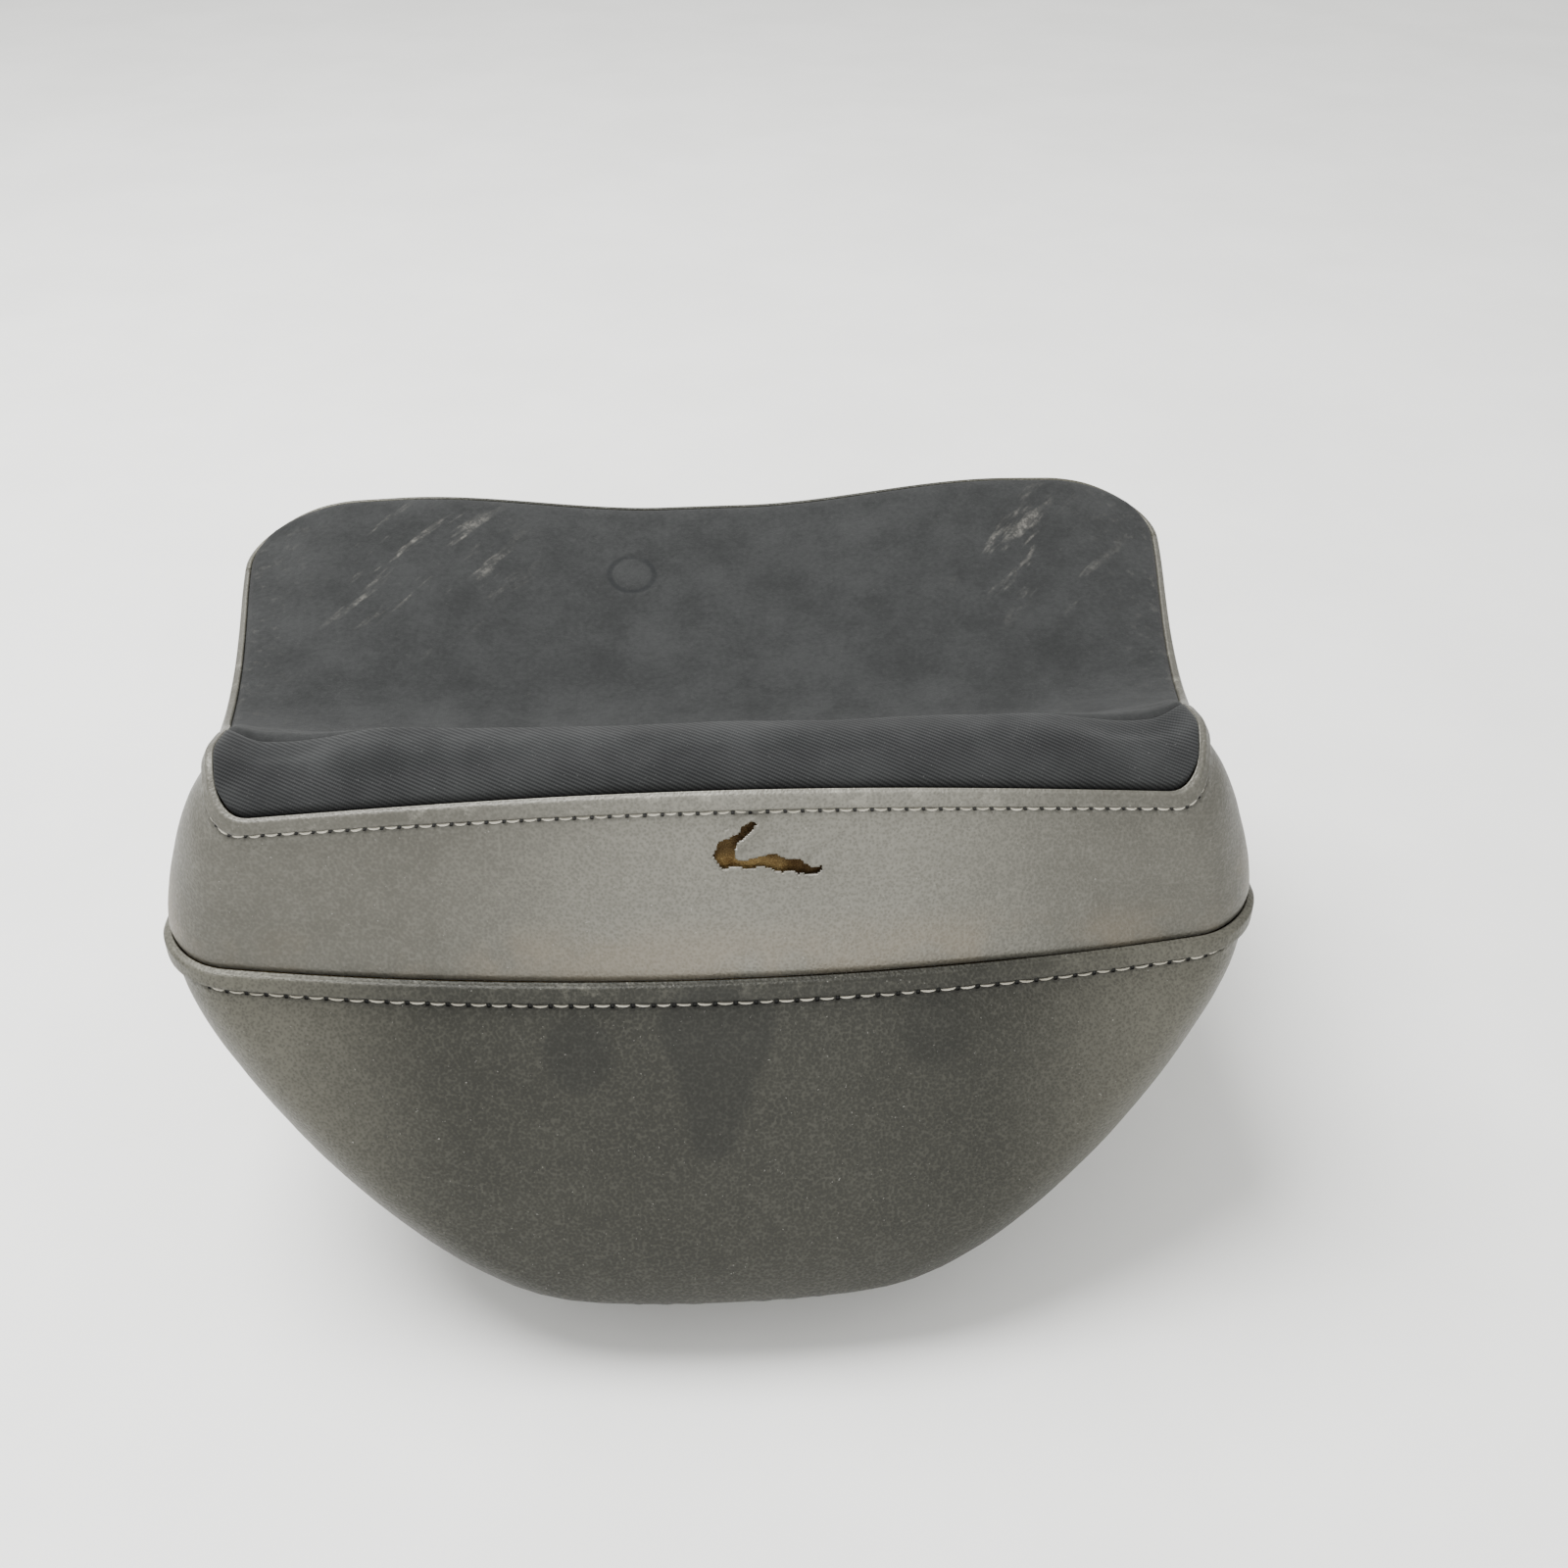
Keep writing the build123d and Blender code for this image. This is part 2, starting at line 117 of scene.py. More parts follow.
class Shader:
    """A material under construction."""

    def __init__(self, name: str) -> None:
        """Start an empty node material."""
        self.material = bpy.data.materials.new(name)
        self.material.use_nodes = True
        self.tree = self.material.node_tree
        self.surface = self.tree.nodes["Principled BSDF"]
        self._axes: Optional[tuple[Wire, ...]] = None

    def node(self, kind: str, settings: dict, inputs: dict, output: Union[int, str] = 0) -> Wire:
        """Add a node.

        Args:
            kind: the node's type.
            settings: properties, set first.
            inputs: values or wires by socket number or name.
            output: the socket to return.
        Returns:
            The chosen output.
        """
        made = self.tree.nodes.new(kind)
        for key, value in settings.items():
            setattr(made, key, value)
        for key, value in inputs.items():
            self._feed(made.inputs[key], value)
        return Wire(self, made.outputs[output])

    def _feed(self, socket: bpy.types.NodeSocket, value: Union[Wire, Number, Sequence[float]]) -> None:
        """Link or set one input."""
        if isinstance(value, Wire):
            self.tree.links.new(value.socket, socket)
        else:
            socket.default_value = value

    def place(self) -> Wire:
        """Object coordinates."""
        return self.node("ShaderNodeTexCoord", {}, {}, "Object")

    def split(self, vector: Wire) -> tuple[Wire, ...]:
        """X, Y and Z of a vector."""
        made = self.node("ShaderNodeSeparateXYZ", {}, {0: vector}).socket.node
        return tuple(Wire(self, output) for output in made.outputs)

    def seam(self) -> tuple[Wire, ...]:
        """Distance along the seam and across it, in metres."""
        return self.split(self.node("ShaderNodeUVMap", {"uv_map": "seam"}, {}))[:2]

    def axes(self) -> tuple[Wire, ...]:
        """X, Y and Z of the object coordinates."""
        if self._axes is None:
            self._axes = self.split(self.place())
        return self._axes

    def noise(self, scale: float, detail: float = 3.0, rough: float = 0.55,
              stretch: Colour = (1.0, 1.0, 1.0), turn: Colour = (0.0, 0.0, 0.0)) -> Wire:
        """Noise on the object coordinates.

        Args:
            scale: cells per metre.
            detail: octaves.
            rough: weight of the fine octaves.
            stretch: scale along each axis, after the turn.
            turn: rotation of the pattern in radians.
        Returns:
            The noise, about 0 to 1.
        """
        at = self.place()
        if turn != (0.0, 0.0, 0.0):
            at = self.node("ShaderNodeMapping", {}, {"Vector": at, "Rotation": turn})
        if stretch != (1.0, 1.0, 1.0):
            at = self.node("ShaderNodeMapping", {}, {"Vector": at, "Scale": stretch})
        return self.node("ShaderNodeTexNoise", {}, {"Vector": at, "Scale": scale, "Detail": detail,
                                                    "Roughness": rough})

    def cells(self, scale: float, feature: str = "SMOOTH_F1") -> Wire:
        """Distance to the nearest cell centre, for leather grain."""
        return self.node("ShaderNodeTexVoronoi", {"feature": feature},
                         {"Vector": self.place(), "Scale": scale}, "Distance")

    def mix(self, factor: Value, low: Union[Wire, Colour], high: Union[Wire, Colour]) -> Wire:
        """Blend two colours by a factor."""
        ends = [value if isinstance(value, Wire) else (*value, 1.0) for value in (low, high)]
        return self.node("ShaderNodeMix", {"data_type": "RGBA"}, {0: factor, 6: ends[0], 7: ends[1]}, 2)

    def far_from(self, x: float, other: float, depth_axis: int = 1) -> Wire:
        """Distance from a point given in millimetres, seen along one axis.

        Args:
            x: place along X.
            other: place along the other axis that is left.
            depth_axis: the axis that is ignored, 1 for Y or 2 for Z.
        Returns:
            The distance in metres.
        """
        axes = self.axes()
        a = axes[0] - x * MM
        b = axes[3 - depth_axis] - other * MM
        return (a * a + b * b).power(0.5)

    def spot(self, x: float, other: float, radius: float, soft: float, depth_axis: int = 1) -> Wire:
        """Round mask about a point in millimetres, seen along one axis.

        Args:
            x: place along X.
            other: place along the other axis that is left.
            radius: radius of the spot.
            soft: width of its edge.
            depth_axis: the axis that is ignored, 1 for Y or 2 for Z.
        Returns:
            1 inside and 0 outside.
        """
        return self.far_from(x, other, depth_axis).ramp((radius + soft) * MM, (radius - soft) * MM)

    def bump(self, height: Wire, depth_mm: float) -> Wire:
        """Bump whose height runs over depth_mm."""
        return self.node("ShaderNodeBump", {},
                         {"Height": height, "Strength": 1.0, "Distance": depth_mm * MM})

    def finish(self, fixed: dict, varied: dict) -> bpy.types.Material:
        """Set the surface.

        Args:
            fixed: numbers and colours that are the same all over.
            varied: wires for what changes over the surface.
        Returns:
            The finished material.
        """
        for key, value in {**fixed, **varied}.items():
            if isinstance(value, tuple) and len(value) == 3:
                value = (*value, 1.0)
            self._feed(self.surface.inputs[key], value)
        return self.material


# ---- finishes -------------------------------------------------------------------
@dataclass(frozen=True)
class Suede:
    """Charcoal deck fabric with a short nap, dusty where it was brushed."""

    dark: Colour = (0.0155, 0.0162, 0.0162)
    light: Colour = (0.0290, 0.0300, 0.0300)
    dust: Colour = (0.24, 0.23, 0.205)
    # brushed patches, as X, Y, radius and softness
    left_patch: tuple = (-118.0, 96.0, 30.0, 26.0)
    right_patch: tuple = (132.0, 92.0, 24.0, 24.0)
    # round mark pressed into the fabric
    ring_at: tuple = (-31.0, 96.5)
    ring_radius: float = 9.1
    ring_tone: Colour = (0.010, 0.011, 0.012)

    def make(self) -> bpy.types.Material:
        """Build the material."""
        s = Shader("deck_suede")
        nap = s.noise(2600.0, 2.0, 0.7)
        patch = s.noise(38.0, 5.0, 0.65)
        grain = s.noise(520.0, 3.0, 0.6)
        tone = patch * 0.55 + grain * 0.30 + nap * 0.15
        base = s.mix(tone.ramp(0.32, 0.68), self.dark, self.light)
        x = s.axes()[0]
        streaks = s.noise(95.0, 3.0, 0.7, (0.10, 1.3, 1.0), (0.0, 0.0, math.radians(-50)))
        left = s.spot(*self.left_patch, depth_axis=2)
        right = s.spot(*self.right_patch, depth_axis=2)
        flecks = s.noise(900.0, 2.0, 0.8).ramp(0.62, 0.72)
        grit = 0.25 + 0.75 * s.noise(300.0, 3.0, 0.8).ramp(0.45, 0.62)
        dust = (left + right * 0.8) * streaks.ramp(0.55, 0.70) * grit
        edge = (x.size() - 0.150).ramp(0.0, 0.03) * s.noise(240.0).ramp(0.55, 0.75) * 0.25
        base = s.mix(dust * 0.50 + flecks * 0.035 + edge * 0.3, base, self.dust)
        off_ring = (s.far_from(*self.ring_at, depth_axis=2) - self.ring_radius * MM).size()
        ring = off_ring.ramp(0.0017, 0.0004) * s.noise(150.0).ramp(0.20, 0.5)
        base = s.mix(ring * 0.62, base, self.ring_tone)
        height = nap * 0.5 + grain * 0.7 + patch * 0.5
        return s.finish({"Roughness": 0.93, "Sheen Weight": 0.07, "Sheen Roughness": 0.45,
                         "Specular IOR Level": 0.14},
                        {"Base Color": base, "Normal": s.bump(height, 0.28)})


@dataclass(frozen=True)
class Twill:
    """Fine diagonal weave of the roll at the front of the deck."""

    dark: Colour = (0.007, 0.0075, 0.0078)
    light: Colour = (0.030, 0.0312, 0.0314)
    pitch: float = 1.15

    def make(self) -> bpy.types.Material:
        """Build the material."""
        s = Shader("roll_twill")
        x, y, z = s.axes()
        turn = 2.0 * math.pi / (self.pitch * MM)
        wobble = s.noise(60.0, 2.0) * 1.4
        rise = (z + y) * 0.70
        rib = ((x * 0.42 + rise * 0.91) * turn + wobble).wave() * 0.5 + 0.5
        thread = ((x * 0.90 - rise * 0.44) * turn * 1.6).wave() * 0.5 + 0.5
        patch = s.noise(45.0, 4.0)
        tone = rib * 0.32 + thread * 0.10 + patch * 0.62
        base = s.mix(tone.ramp(0.25, 0.85), self.dark, self.light)
        lint = s.noise(1100.0, 2.0, 0.8).ramp(0.66, 0.74)
        base = s.mix(lint * 0.12, base, (0.3, 0.3, 0.29))
        return s.finish({"Roughness": 0.88, "Sheen Weight": 0.07, "Specular IOR Level": 0.16},
                        {"Base Color": base, "Normal": s.bump(rib * 0.8 + thread * 0.3, 0.09)})


@dataclass(frozen=True)
class Vinyl:
    """Pebbled vinyl with a sheen and painted highlights, puckered beside its stitching."""

    name: str
    dark: Colour
    light: Colour
    # light tone used for the painted highlights
    highlight_tone: Colour
    stitch_at: float
    pitch: float = 5.7
    # light tone that both ends are mixed towards
    dust: Colour = (0.115, 0.110, 0.088)
    metal: float = 0.32
    shine: float = 0.5
    soil: float = 0.0
    # painted highlight: how strongly the front is painted lighter, then the middle and reach of that patch
    # along X
    front_highlight: float = 0.0
    front_highlight_x: float = 25.0
    front_highlight_reach: float = 130.0
    lighter_ends: float = 0.0
    # strength of the painted highlight on the raised borders of the pebble grain
    grain_highlight: float = 0.16
    # stains on the front, as X, height, radius, softness and strength
    stains: tuple = ()
    stain_tone: Colour = (0.011, 0.0115, 0.0105)

    def make(self) -> bpy.types.Material:
        """Build the material."""
        s = Shader(self.name)
        along, across = s.seam()
        pebble = s.cells(1050.0)
        fine = s.cells(2300.0, "F1")
        cloud = s.noise(11.0, 4.0, 0.6)
        mottle = s.noise(120.0, 4.0, 0.65)
        base = s.mix((cloud * 0.6 + mottle * 0.4).ramp(0.33, 0.68), self.dark, self.light)
        x, y, _ = s.axes()
        front = y.ramp(-0.050, -0.075)
        # painted highlight: the front is painted lighter in a broad patch that fades away from its middle on X
        front_highlight_mask = (x - self.front_highlight_x * MM).size().ramp(self.front_highlight_reach * MM, 0.02) * front * self.front_highlight
        base = s.mix(front_highlight_mask, base, self.highlight_tone)
        # lighter towards both ends along X
        dusty = x.size().ramp(0.085, 0.165) * self.lighter_ends
        base = s.mix(dusty * (0.7 + mottle * 0.5), base, self.dust)
        # painted highlight on the raised borders of the pebble grain, then painted shade in its pits
        base = s.mix(pebble.ramp(0.35, 0.75) * self.grain_highlight, base, self.highlight_tone)
        base = s.mix(pebble.ramp(0.55, 0.10) * 0.42, base, self.dark)
        # painted highlight along the fold of the seam flap, broken up by noise
        fold_highlight_noise = s.noise(75.0, 5.0, 0.75).ramp(0.56, 0.74)
        near_fold = across.ramp(0.011, 0.001)
        base = s.mix(near_fold * fold_highlight_noise * 0.55, base, self.highlight_tone)
        specks = s.noise(640.0, 2.0, 0.85).ramp(0.70, 0.76)
        base = s.mix(specks * 0.35, base, (0.42, 0.41, 0.38))
        off_row = (across - self.stitch_at * MM).size()
        # painted shade along the sunk row of stitching
        base = s.mix(off_row.ramp(0.0020, 0.0003) * 0.35, base, (0.035, 0.034, 0.032))
        beat = (along * (math.pi / (self.pitch * MM))).wave().size()
        # painted shade: near-black needle holes between the stitches
        hole = beat.ramp(0.36, 0.16) * off_row.ramp(0.0009, 0.0005)
        base = s.mix(hole * 0.95, base, (0.006, 0.006, 0.006))
        dirt = across.ramp(0.040, 0.058) * s.noise(26.0, 4.0, 0.6).ramp(0.40, 0.62)
        base = s.mix(dirt * self.soil, base, (0.17, 0.135, 0.090))
        gloss = 0.46 + mottle * 0.16 - pebble * 0.10
        if self.stains:
            blot = s.noise(42.0, 3.0, 0.6) * 0.9 + 0.55
            wet = sum(s.spot(*place) * strength for *place, strength in self.stains)
            wet = (wet * blot * front).ramp(0.35, 1.0)
            base = s.mix(wet * 0.40, base, self.stain_tone)
            gloss = gloss + wet * 0.05
        pull = off_row.ramp(0.0042, 0.0) * beat - hole * 2.0
        height = pebble * 0.9 + fine * 0.25 + mottle * 0.5 + pull * 2.0
        return s.finish({"Specular IOR Level": self.shine, "Coat Roughness": 0.35, "Metallic": self.metal},
                        {"Base Color": base, "Roughness": gloss, "Coat Weight": mottle * self.shine * 0.2,
                         "Normal": s.bump(height, 0.20)})


@dataclass(frozen=True)
class Foam:
    """Aged ochre foam, open celled, painted darker towards the top and right as shade under the torn lips."""

    def make(self) -> bpy.types.Material:
        """Build the material."""
        s = Shader("aged_foam")
        cells = s.cells(1500.0, "F1")
        tone = s.noise(180.0, 5.0, 0.7)
        base = s.mix(tone.ramp(0.35, 0.65), (0.20, 0.115, 0.035), (0.60, 0.42, 0.17))
        base = s.mix(cells.ramp(0.1, 0.5) * 0.4, base, (0.09, 0.05, 0.02))
        x, _, z = s.axes()
        # painted shade: darker towards the top and towards the right, where the torn lips shade the foam
        lip_shade = z.ramp(0.1790, 0.1865) + x.ramp(0.008, 0.034)
        base = s.mix(lip_shade.ramp(0.0, 1.0) * 0.86, base, (0.038, 0.021, 0.008))
        return s.finish({"Roughness": 0.95, "Specular IOR Level": 0.2},
                        {"Base Color": base, "Normal": s.bump(cells + tone, 0.5)})


@dataclass(frozen=True)
class Plain:
    """A finish of two close tones with a grain, for mouldings and metal."""

    name: str
    dark: Colour
    light: Colour
    rough: float
    metal: float = 0.0
    grain: float = 900.0
    depth: float = 0.03
    scuff: Optional[Colour] = None

    def make(self) -> bpy.types.Material:
        """Build the material."""
        s = Shader(self.name)
        grain = s.noise(self.grain, 3.0, 0.6)
        patch = s.noise(28.0, 5.0, 0.7)
        base = s.mix((patch * 0.7 + grain * 0.3).ramp(0.35, 0.65), self.dark, self.light)
        if self.scuff is not None:
            scratch = s.noise(70.0, 3.0, 0.8, (0.15, 2.4, 1.0), (0.0, 0.0, 0.7)).ramp(0.62, 0.70)
            base = s.mix(scratch * 0.4, base, self.scuff)
        return s.finish({"Metallic": self.metal},
                        {"Base Color": base, "Roughness": self.rough - 0.1 + patch * 0.2,
                         "Normal": s.bump(grain, self.depth)})


STAINS = ((-47.7, 123.6, 13.0, 5.0, 1.0), (72.0, 125.9, 13.5, 6.0, 0.8), (-8.0, 131.0, 14.0, 5.0, 1.0),
          (5.0, 131.0, 14.0, 5.0, 1.0), (-2.0, 114.0, 14.0, 6.0, 1.0), (-4.0, 97.0, 9.0, 5.0, 1.0),
          (1.0, 74.0, 6.0, 4.0, 0.35))


class Finish(Enum):
    """Every finish of the seat."""

    SUEDE = Suede()
    TWILL = Twill()
    # the band gets a painted highlight across its front
    BAND = Vinyl("band_vinyl", (0.066, 0.063, 0.051), (0.096, 0.092, 0.076), (0.31, 0.30, 0.255),
                 stitch_at=7.6, pitch=5.6, soil=0.35, front_highlight=0.31, grain_highlight=0.09)
    SKIRT = Vinyl("skirt_vinyl", (0.0195, 0.0192, 0.0150), (0.0300, 0.0296, 0.0235), (0.12, 0.117, 0.095),
                  stitch_at=8.2, pitch=6.8, shine=0.28, lighter_ends=0.75, stains=STAINS)
    FOAM = Foam()
    THREAD = Plain("stitch_thread", (0.34, 0.32, 0.26), (0.58, 0.55, 0.47), rough=0.75, grain=2400.0,
                   depth=0.05)
    BACKING = Plain("backing_cloth", (0.45, 0.43, 0.38), (0.74, 0.72, 0.66), rough=0.9, grain=1800.0,
                    depth=0.15)
    PAN = Plain("pan_moulding", (0.010, 0.010, 0.011), (0.022, 0.022, 0.023), rough=0.55, grain=1300.0,
                depth=0.05, scuff=(0.07, 0.07, 0.068))
    RUBBER = Plain("bumper_rubber", (0.012, 0.012, 0.012), (0.030, 0.029, 0.028), rough=0.8, grain=1600.0,
                   depth=0.05)
    BLACK_STEEL = Plain("black_coat", (0.014, 0.014, 0.014), (0.024, 0.024, 0.025), rough=0.42,
                        grain=1500.0, depth=0.04, scuff=(0.12, 0.11, 0.10))
    ZINC = Plain("zinc_plate", (0.42, 0.40, 0.34), (0.60, 0.58, 0.52), rough=0.36, metal=1.0, grain=700.0,
                 depth=0.01)
    BRASS = Plain("brass_insert", (0.46, 0.32, 0.12), (0.62, 0.46, 0.20), rough=0.35, metal=1.0,
                  grain=700.0, depth=0.01)
    NYLON = Plain("nylon_bush", (0.50, 0.48, 0.42), (0.62, 0.60, 0.54), rough=0.45)


@dataclass
class Wardrobe:
    """Makes each finish once and dresses pieces in it."""

    made: dict = field(default_factory=dict)

    def dress(self, piece: bpy.types.Object, *finishes: Finish) -> None:
        """Give a piece its finish, with any others in the material slots after it."""
        piece.data.materials.clear()
        for finish in finishes:
            if finish not in self.made:
                self.made[finish] = finish.value.make()
            piece.data.materials.append(self.made[finish])


# ---- shape of the seat ----------------------------------------------------------
def ease(value: np.ndarray, low: float, high: Union[float, np.ndarray]) -> np.ndarray:
    """Smooth rise from 0 at low to 1 at high."""
    t = np.clip((value - low) / (high - low), 0.0, 1.0)
    return t * t * (3.0 - 2.0 * t)


def curve(points: Sequence[tuple[float, float]], at: np.ndarray) -> np.ndarray:
    """Cubic curve through points (place, value)."""
    xs, ys = (np.array(v, float) for v in zip(*points))
    at = np.clip(at, xs[0], xs[-1])
    i = np.clip(np.searchsorted(xs, at, side="right") - 1, 0, len(xs) - 2)
    slope = np.empty(len(xs))
    slope[1:-1] = (ys[2:] - ys[:-2]) / (xs[2:] - xs[:-2])
    slope[0], slope[-1] = (ys[1] - ys[0]) / (xs[1] - xs[0]), (ys[-1] - ys[-2]) / (xs[-1] - xs[-2])
    h = xs[i + 1] - xs[i]
    t = (at - xs[i]) / h
    return ((2 * t**3 - 3 * t**2 + 1) * ys[i] + (t**3 - 2 * t**2 + t) * slope[i] * h
            + (3 * t**2 - 2 * t**3) * ys[i + 1] + (t**3 - t**2) * slope[i + 1] * h)


def grid_normals(grid: np.ndarray) -> np.ndarray:
    """Unit normals of a grid of points, outwards for rows rising and columns going round."""
    normal = np.cross(np.gradient(grid, axis=1), np.gradient(grid, axis=0))
    return normal / np.maximum(np.linalg.norm(normal, axis=2, keepdims=True), 1e-9)


@dataclass
class Body:
    """The seat's outline at each height and the surface of its deck, in millimetres."""

    # height, half width, front, bow, rear, front radius, rear radius, flare, waist
    levels: tuple = (
        (28.0, 104.0, -140.0, 10.0, 116.0, 72.0, 66.0, 0.000, 0.000),
        (36.0, 119.0, -144.0, 13.0, 124.0, 66.0, 60.0, 0.000, 0.000),
        (60.0, 143.0, -139.0, 19.0, 135.0, 50.0, 48.0, 0.000, 0.000),
        (90.0, 165.0, -125.0, 19.0, 141.0, 38.0, 38.0, 0.000, 0.000),
        (120.0, 181.0, -110.0, 18.0, 144.0, 29.0, 32.0, 0.000, 0.000),
        (145.0, 188.0, -96.0, 17.0, 144.0, 24.0, 30.0, 0.000, 0.000),
        (175.0, 181.5, -83.5, 14.0, 141.0, 22.0, 28.0, 0.035, 0.015),
        (205.0, 167.0, -74.5, 10.0, 135.0, 22.0, 26.0, 0.120, 0.040),
        (240.0, 150.0, -64.0, 6.0, 128.0, 22.0, 24.0, 0.200, 0.055),
    )
    profile: tuple = (
        (-105.0, 168.0), (-93.0, 184.0), (-75.0, 206.0), (-61.0, 216.0), (-44.0, 211.0),
        (-26.0, 192.0), (-8.0, 178.0), (22.0, 172.0), (62.0, 178.0), (92.0, 186.0),
        (117.0, 193.0), (132.0, 196.0), (150.0, 198.0),
    )
    belt: float = 145.0
    bottom: float = 28.0
    middle_y: float = 7.0
    deck_half: float = 170.0
    rear_bow: float = 6.0
    lean: float = 2.5
    sunk: float = 5.0
    arc_steps: int = 14
    across_steps: int = 176
    along_steps: int = 70
    fine_x: tuple = (-0.07, 0.32)
    fine_steps: int = 84
    columns: np.ndarray = field(init=False)
    left_start: int = field(init=False)
    left_side: int = field(init=False)
    front_left: int = field(init=False)
    front_right: int = field(init=False)
    right_side: int = field(init=False)

    def __post_init__(self) -> None:
        """Lay out the columns that go round the seat, from the right of the rear."""
        # kind of column (0 corner, 1 across, 2 along), place across, place along, turn of a corner
        rows = []
        left, right = self.fine_x
        spare = self.across_steps - self.fine_steps
        before = round(spare * (left + 1.0) / (2.0 - right + left))
        front = np.concatenate([np.linspace(-1, left, before + 2)[1:-1],
                                np.linspace(left, right, self.fine_steps),
                                np.linspace(right, 1, spare - before + 2)[1:-1]])
        turns = ((1, 1, 0), (-1, 1, 90), (-1, -1, 180), (1, -1, 270))
        for sx, sy, turn in turns:
            for step in range(self.arc_steps + 1):
                rows.append((0, sx, sy, math.radians(turn + 90.0 * step / self.arc_steps)))
            if turn in (0, 180):
                for k in np.linspace(1, -1, self.across_steps + 2)[1:-1] if turn == 0 else front:
                    rows.append((1, k, sy, 0.0))
            else:
                fractions = np.linspace(0, 1, self.along_steps + 2)[1:-1]
                for k in fractions if turn == 270 else fractions[::-1]:
                    rows.append((2, sx, k, 0.0))
        self.columns = np.array(rows)
        arc, across, along = self.arc_steps + 1, self.across_steps, self.along_steps
        self.left_start = arc + across
        self.left_side = self.left_start + arc
        self.front_left = self.left_side + along
        self.front_right = self.front_left + arc + across
        self.right_side = self.front_right + arc

    def deck(self, x: np.ndarray, y: np.ndarray) -> np.ndarray:
        """Height of the deck."""
        u = np.abs(x) / self.deck_half
        along = y - 13.0 * u**2 * (1.0 - ease(y, -68.0, 52.0))
        front, rear = 1.0 - ease(along, -53.0, -13.0), ease(along, 2.0, 122.0)
        return (curve(self.profile, along) - 7.0 * front * u**2 + 9.0 * (1 - front) * (1 - rear) * u**2
                + rear * (12.0 * ease(u, 0.1, 0.75) - 10.0 * ease(u, 0.85, 1.15)))

    def worn_ends(self, x: np.ndarray, y: np.ndarray) -> np.ndarray:
        """How far the two ends of the roll have sunk."""
        u = np.abs(x) / self.deck_half
        inside = ease(u, 0.62, 0.84) * (1.0 - ease(u, 0.87, 0.955))
        return self.sunk * inside * np.exp(-((y + 47.0) / 15.0)**2)

    def ring(self, z: Union[float, np.ndarray], inset: float = 0.0) -> np.ndarray:
        """Points of every column at one height, or at a height for each.

        Args:
            z: height, or one height for each column.
            inset: how far the outline is drawn in.
        Returns:
            An array of points.
        """
        z = np.broadcast_to(np.asarray(z, float), len(self.columns))
        half, front, bow, rear, r_front, r_rear, flare, waist = (
            curve([(level[0], level[k]) for level in self.levels], z) for k in range(1, 9))
        half, front, rear = half - inset, front + inset, rear - inset
        r_front, r_rear = r_front - inset, r_rear - inset
        kind, a, b, turn = self.columns.T
        radius = np.where(b > 0, r_rear, r_front)
        end = np.where(b > 0, rear, front)
        corner_x = a * (half - radius) + radius * np.cos(turn)
        corner_y = end - np.sign(b) * radius + radius * np.sin(turn)
        x = np.where(kind == 0, corner_x, np.where(kind == 1, a * (half - radius), a * half))
        low, high = front + r_front, rear - r_rear
        y = np.where(kind == 0, corner_y, np.where(kind == 1, end, low + (high - low) * b))
        pull = bow * (x / half)**2 * ease(self.middle_y - y, 0.0, self.middle_y - front)
        bulge = self.rear_bow * (x / half)**2 * ease(y - self.middle_y, 0.0, rear - self.middle_y)
        spread = flare * ease(y, 12.0, 122.0) - waist * np.exp(-((y + 3.0) / 45.0)**2)
        return np.stack([x * (1.0 + spread), y + pull - bulge, z], axis=1)

    def edge(self) -> np.ndarray:
        """Points where the sides meet the deck."""
        low = np.full(len(self.columns), self.belt)
        high = np.full(len(self.columns), self.levels[-1][0])
        for _ in range(30):
            z = (low + high) / 2
            p = self.ring(z)
            under = self.deck(p[:, 0], p[:, 1]) > z
            low, high = np.where(under, z, low), np.where(under, high, z)
        return self.ring(z)

    def settle(self, points: np.ndarray) -> np.ndarray:
        """Lean of a used cushion: one rear corner stands higher than the other."""
        x, y, z = points[..., 0], points[..., 1], points[..., 2]
        moved = points.copy()
        moved[..., 2] = z + self.lean * (x / self.deck_half) * ease(y, 0.0, 120.0) * ease(z, 130.0, 190.0)
        return moved


def line_length(line: np.ndarray) -> np.ndarray:
    """Distance of each point of a line from its start."""
    return np.concatenate([[0.0], np.cumsum(np.linalg.norm(np.diff(line, axis=0), axis=1))])


def resample(rows: np.ndarray, stations: Callable[[float], np.ndarray]) -> tuple[np.ndarray, np.ndarray]:
    """Move the points of each column to chosen distances from its start.

    Args:
        rows: grid of points, the distance running along the first axis.
        stations: gives the distances for a column of one length.
    Returns:
        The new grid, and each point's distance from the start.
    """
    columns, places = [], []
    for c in range(rows.shape[1]):
        line = rows[:, c]
        gone = line_length(line)
        at = stations(gone[-1])
        columns.append(np.stack([np.interp(at, gone, line[:, k]) for k in range(3)], axis=1))
        places.append(at)
    return np.stack(columns, axis=1), np.stack(places, axis=1)


def ripple(points: np.ndarray, scale: float, seed: int) -> np.ndarray:
    """Soft repeatable unevenness of about -1 to 1.

    Args:
        points: where it is read, in millimetres.
        scale: length of a wave in millimetres.
        seed: choice of pattern.
    Returns:
        One value for each point.
    """
    rng = np.random.default_rng(seed)
    total = np.zeros(points.shape[:-1])
    for _ in range(7):
        heading = rng.normal(size=3)
        heading /= np.linalg.norm(heading)
        rate = 2.0 * math.pi / (scale * rng.uniform(0.6, 1.6))
        total += np.sin(points @ heading * rate + rng.uniform(0, 2.0 * math.pi))
    return total / 4.0


# ---- mesh helpers ---------------------------------------------------------------
def clear_selection() -> None:
    """Leave nothing selected."""
    for o in bpy.context.selected_objects:
        o.select_set(False)


